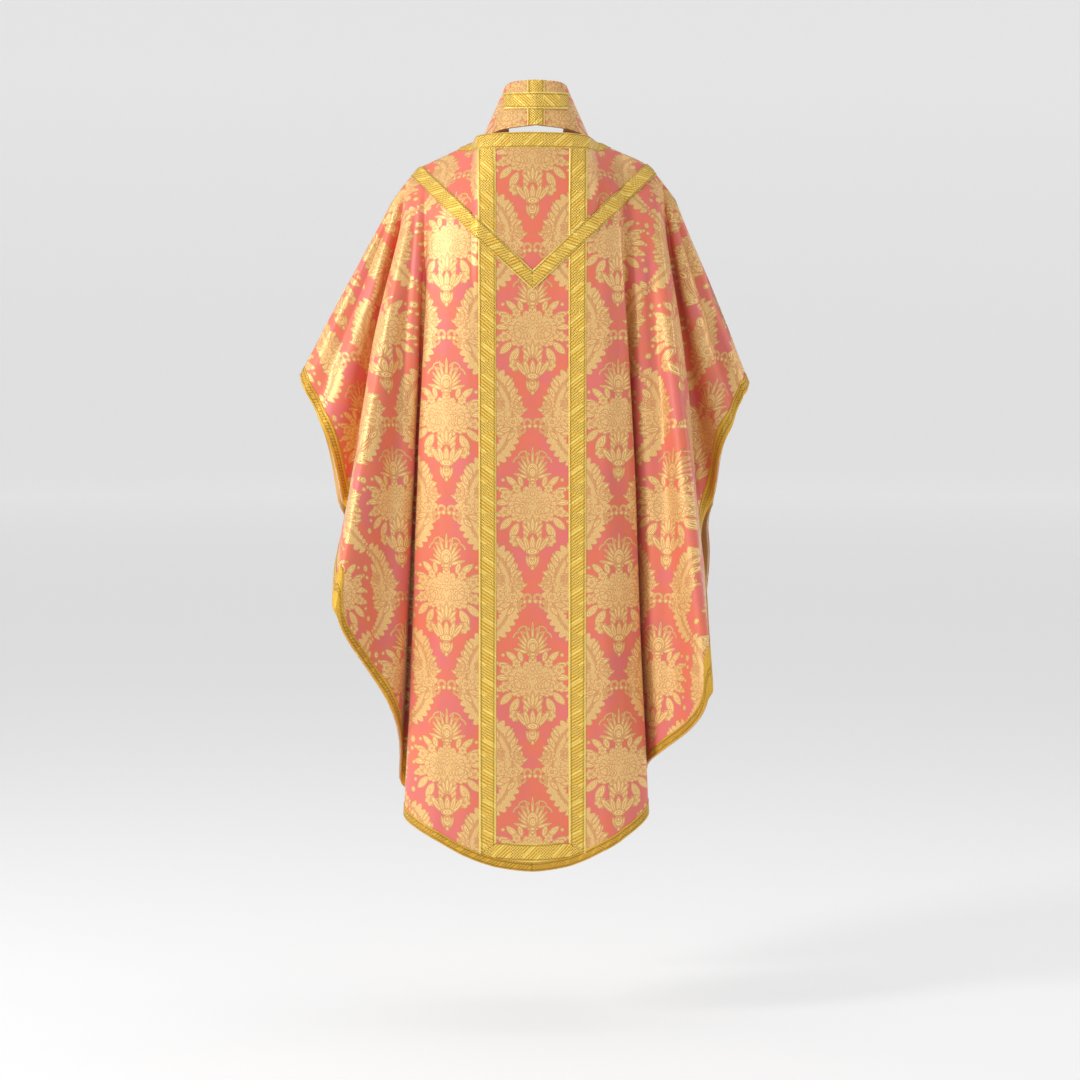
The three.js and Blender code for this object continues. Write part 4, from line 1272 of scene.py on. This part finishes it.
def canvas():
    """Stiff natural canvas between the outer cloth and the lining."""
    cloth = Cloth("interlining")
    x, y = cloth.spot.parts()
    weave = wave(x, CANVAS_YARN) * wave(y, CANVAS_YARN)
    rough = cloth.noise(3.0, 4.0).ramp(0.3, 0.7)
    cloth.link("Base Color", cloth.colour(rough, CANVAS, CANVAS_PALE))
    cloth.set(Roughness=0.9, Specular_IOR_Level=0.2)
    cloth.bump(weave.ramp(-0.6, 0.6), 0.15)
    return cloth.material


def twisted_gold():
    """Gold yarn twisted round itself, for the fringe."""
    cloth = Cloth("fringe")
    drop, turn = cloth.spot.parts()
    twist = (drop * (2 * math.pi / TWIST) + turn).sin().ramp(-0.6, 0.6)
    fade = cloth.noise(9, 2.0).ramp(0.35, 0.7)
    colour = cloth.colour(twist, GOLD_DARK, GOLD)
    cloth.link("Base Color", cloth.colour(fade * 0.4, colour, GOLD_PALE))
    cloth.set(Metallic=0.4, Roughness=0.42, Specular_IOR_Level=0.5)
    cloth.bump(twist, 0.3)
    return cloth.material


def make_looks():
    return {
        "brocade": brocade(),
        "galloon": woven_gold("galloon", 15.4, 53, GOLD_PALE, GOLD, GOLD_DARK),
        "hem_galloon": woven_gold("hem_galloon", 8, 24, GOLD, HEM_GOLD, HEM_GOLD_DARK),
        "lining": satin_lining(),
        "interlining": canvas(),
        "fringe": twisted_gold(),
    }


# ---- room, light and camera ----------------------------------------------------------------------
FLOOR = -1.575                      # metres below the neck, where a stand of common height would stand
VIEW_WIDTH = 1.935                  # metres seen across at the vestment
VIEW_CENTRE = Vector((0.013, 0, -0.717))
CAMERA_AWAY = 6.0
WALL_AWAY = 20.0
WALL_CURVE = 3.0                    # radius of the curve from floor to wall
WALL_HEIGHT = 9.0
BACKDROP_STEPS = 16
BACKDROP_SIDES = 96
BACKDROP_GREY = (0.45, 0.45, 0.45, 1)
BACKDROP_GLOW = 0.52                # a little light of its own keeps the far wall pale
WORLD_COLOUR = (0.95, 0.96, 1, 1)
WORLD_LIGHT = 0.24
LIGHTS_AT = (0, 0, -0.6)            # where the lights point
# Lights: place, width and height, power in watts.
LIGHTS = {
    "key": ((-3.5, -2.4, 1.4), (0.9, 1.3), 128),
    "fill": ((2.8, -3.0, 0.4), (1.6, 2.0), 10),
    "top": ((0, 0.2, 2.6), (3.0, 2.0), 36),
    "side_left": ((-3.4, 0.4, 0.2), (0.8, 2.0), 20),
    "side_right": ((3.4, 0.4, 0.2), (0.8, 2.0), 16),
}
CAMERA_RISE = math.radians(4)
SENSOR = 36.0


def backdrop():
    """Pale round floor that curves up into a pale wall, wide enough to hold the camera on every side."""
    line = [(0.0, 0.0)]
    for step in range(BACKDROP_STEPS + 1):
        turn = step / BACKDROP_STEPS * math.pi / 2
        line.append((WALL_AWAY - WALL_CURVE * (1 - math.sin(turn)), WALL_CURVE * (1 - math.cos(turn))))
    line.append((WALL_AWAY, WALL_HEIGHT))
    points, faces = [], []
    for index in range(BACKDROP_SIDES):
        angle = 2 * math.pi * index / BACKDROP_SIDES
        points += [(out * math.cos(angle), out * math.sin(angle), FLOOR + up) for out, up in line]
        after = (index + 1) % BACKDROP_SIDES
        for row in range(len(line) - 1):
            here, there = index * len(line) + row, after * len(line) + row
            faces.append((here, there, there + 1, here + 1))
    mesh = bpy.data.meshes.new("backdrop")
    mesh.from_pydata(points, [], faces)
    mesh.polygons.foreach_set("use_smooth", [True] * len(faces))
    material = bpy.data.materials.new("backdrop")
    material.use_nodes = True
    shader = material.node_tree.nodes["Principled BSDF"]
    shader.inputs["Base Color"].default_value = BACKDROP_GREY
    shader.inputs["Emission Color"].default_value = (1, 1, 1, 1)
    shader.inputs["Emission Strength"].default_value = BACKDROP_GLOW
    shader.inputs["Roughness"].default_value = 0.9
    mesh.materials.append(material)
    obj = bpy.data.objects.new("backdrop", mesh)
    bpy.context.collection.objects.link(obj)


def area_light(name, place, size, power):
    light = bpy.data.lights.new(name, "AREA")
    light.shape = "RECTANGLE"
    light.size, light.size_y = size
    light.energy = power
    obj = bpy.data.objects.new(name, light)
    obj.location = place
    obj.rotation_euler = (Vector(LIGHTS_AT) - Vector(place)).to_track_quat("-Z", "Y").to_euler()
    bpy.context.collection.objects.link(obj)


def studio():
    """Soft lights around the vestment and an even pale surrounding."""
    for name, values in LIGHTS.items():
        area_light(name, *values)
    scene = bpy.context.scene
    scene.view_settings.view_transform = "Standard"
    scene.world = bpy.data.worlds.new("studio")
    scene.world.use_nodes = True
    background = scene.world.node_tree.nodes["Background"]
    background.inputs["Color"].default_value = WORLD_COLOUR
    background.inputs["Strength"].default_value = WORLD_LIGHT


def camera():
    data = bpy.data.cameras.new("main")
    data.sensor_width = SENSOR
    data.lens = SENSOR * CAMERA_AWAY / VIEW_WIDTH
    obj = bpy.data.objects.new("main", data)
    # The vestment's back, which faces -Y, is seen from a little above.
    away = Vector((0, -math.cos(CAMERA_RISE), math.sin(CAMERA_RISE))) * CAMERA_AWAY
    obj.location = VIEW_CENTRE + away
    obj.rotation_euler = (-away).to_track_quat("-Z", "Y").to_euler()
    bpy.context.collection.objects.link(obj)
    bpy.context.scene.camera = obj


looks = make_looks()
for face in ("back", "front"):
    chasuble_face(face, looks)
make_stole(looks)
backdrop()
studio()
camera()
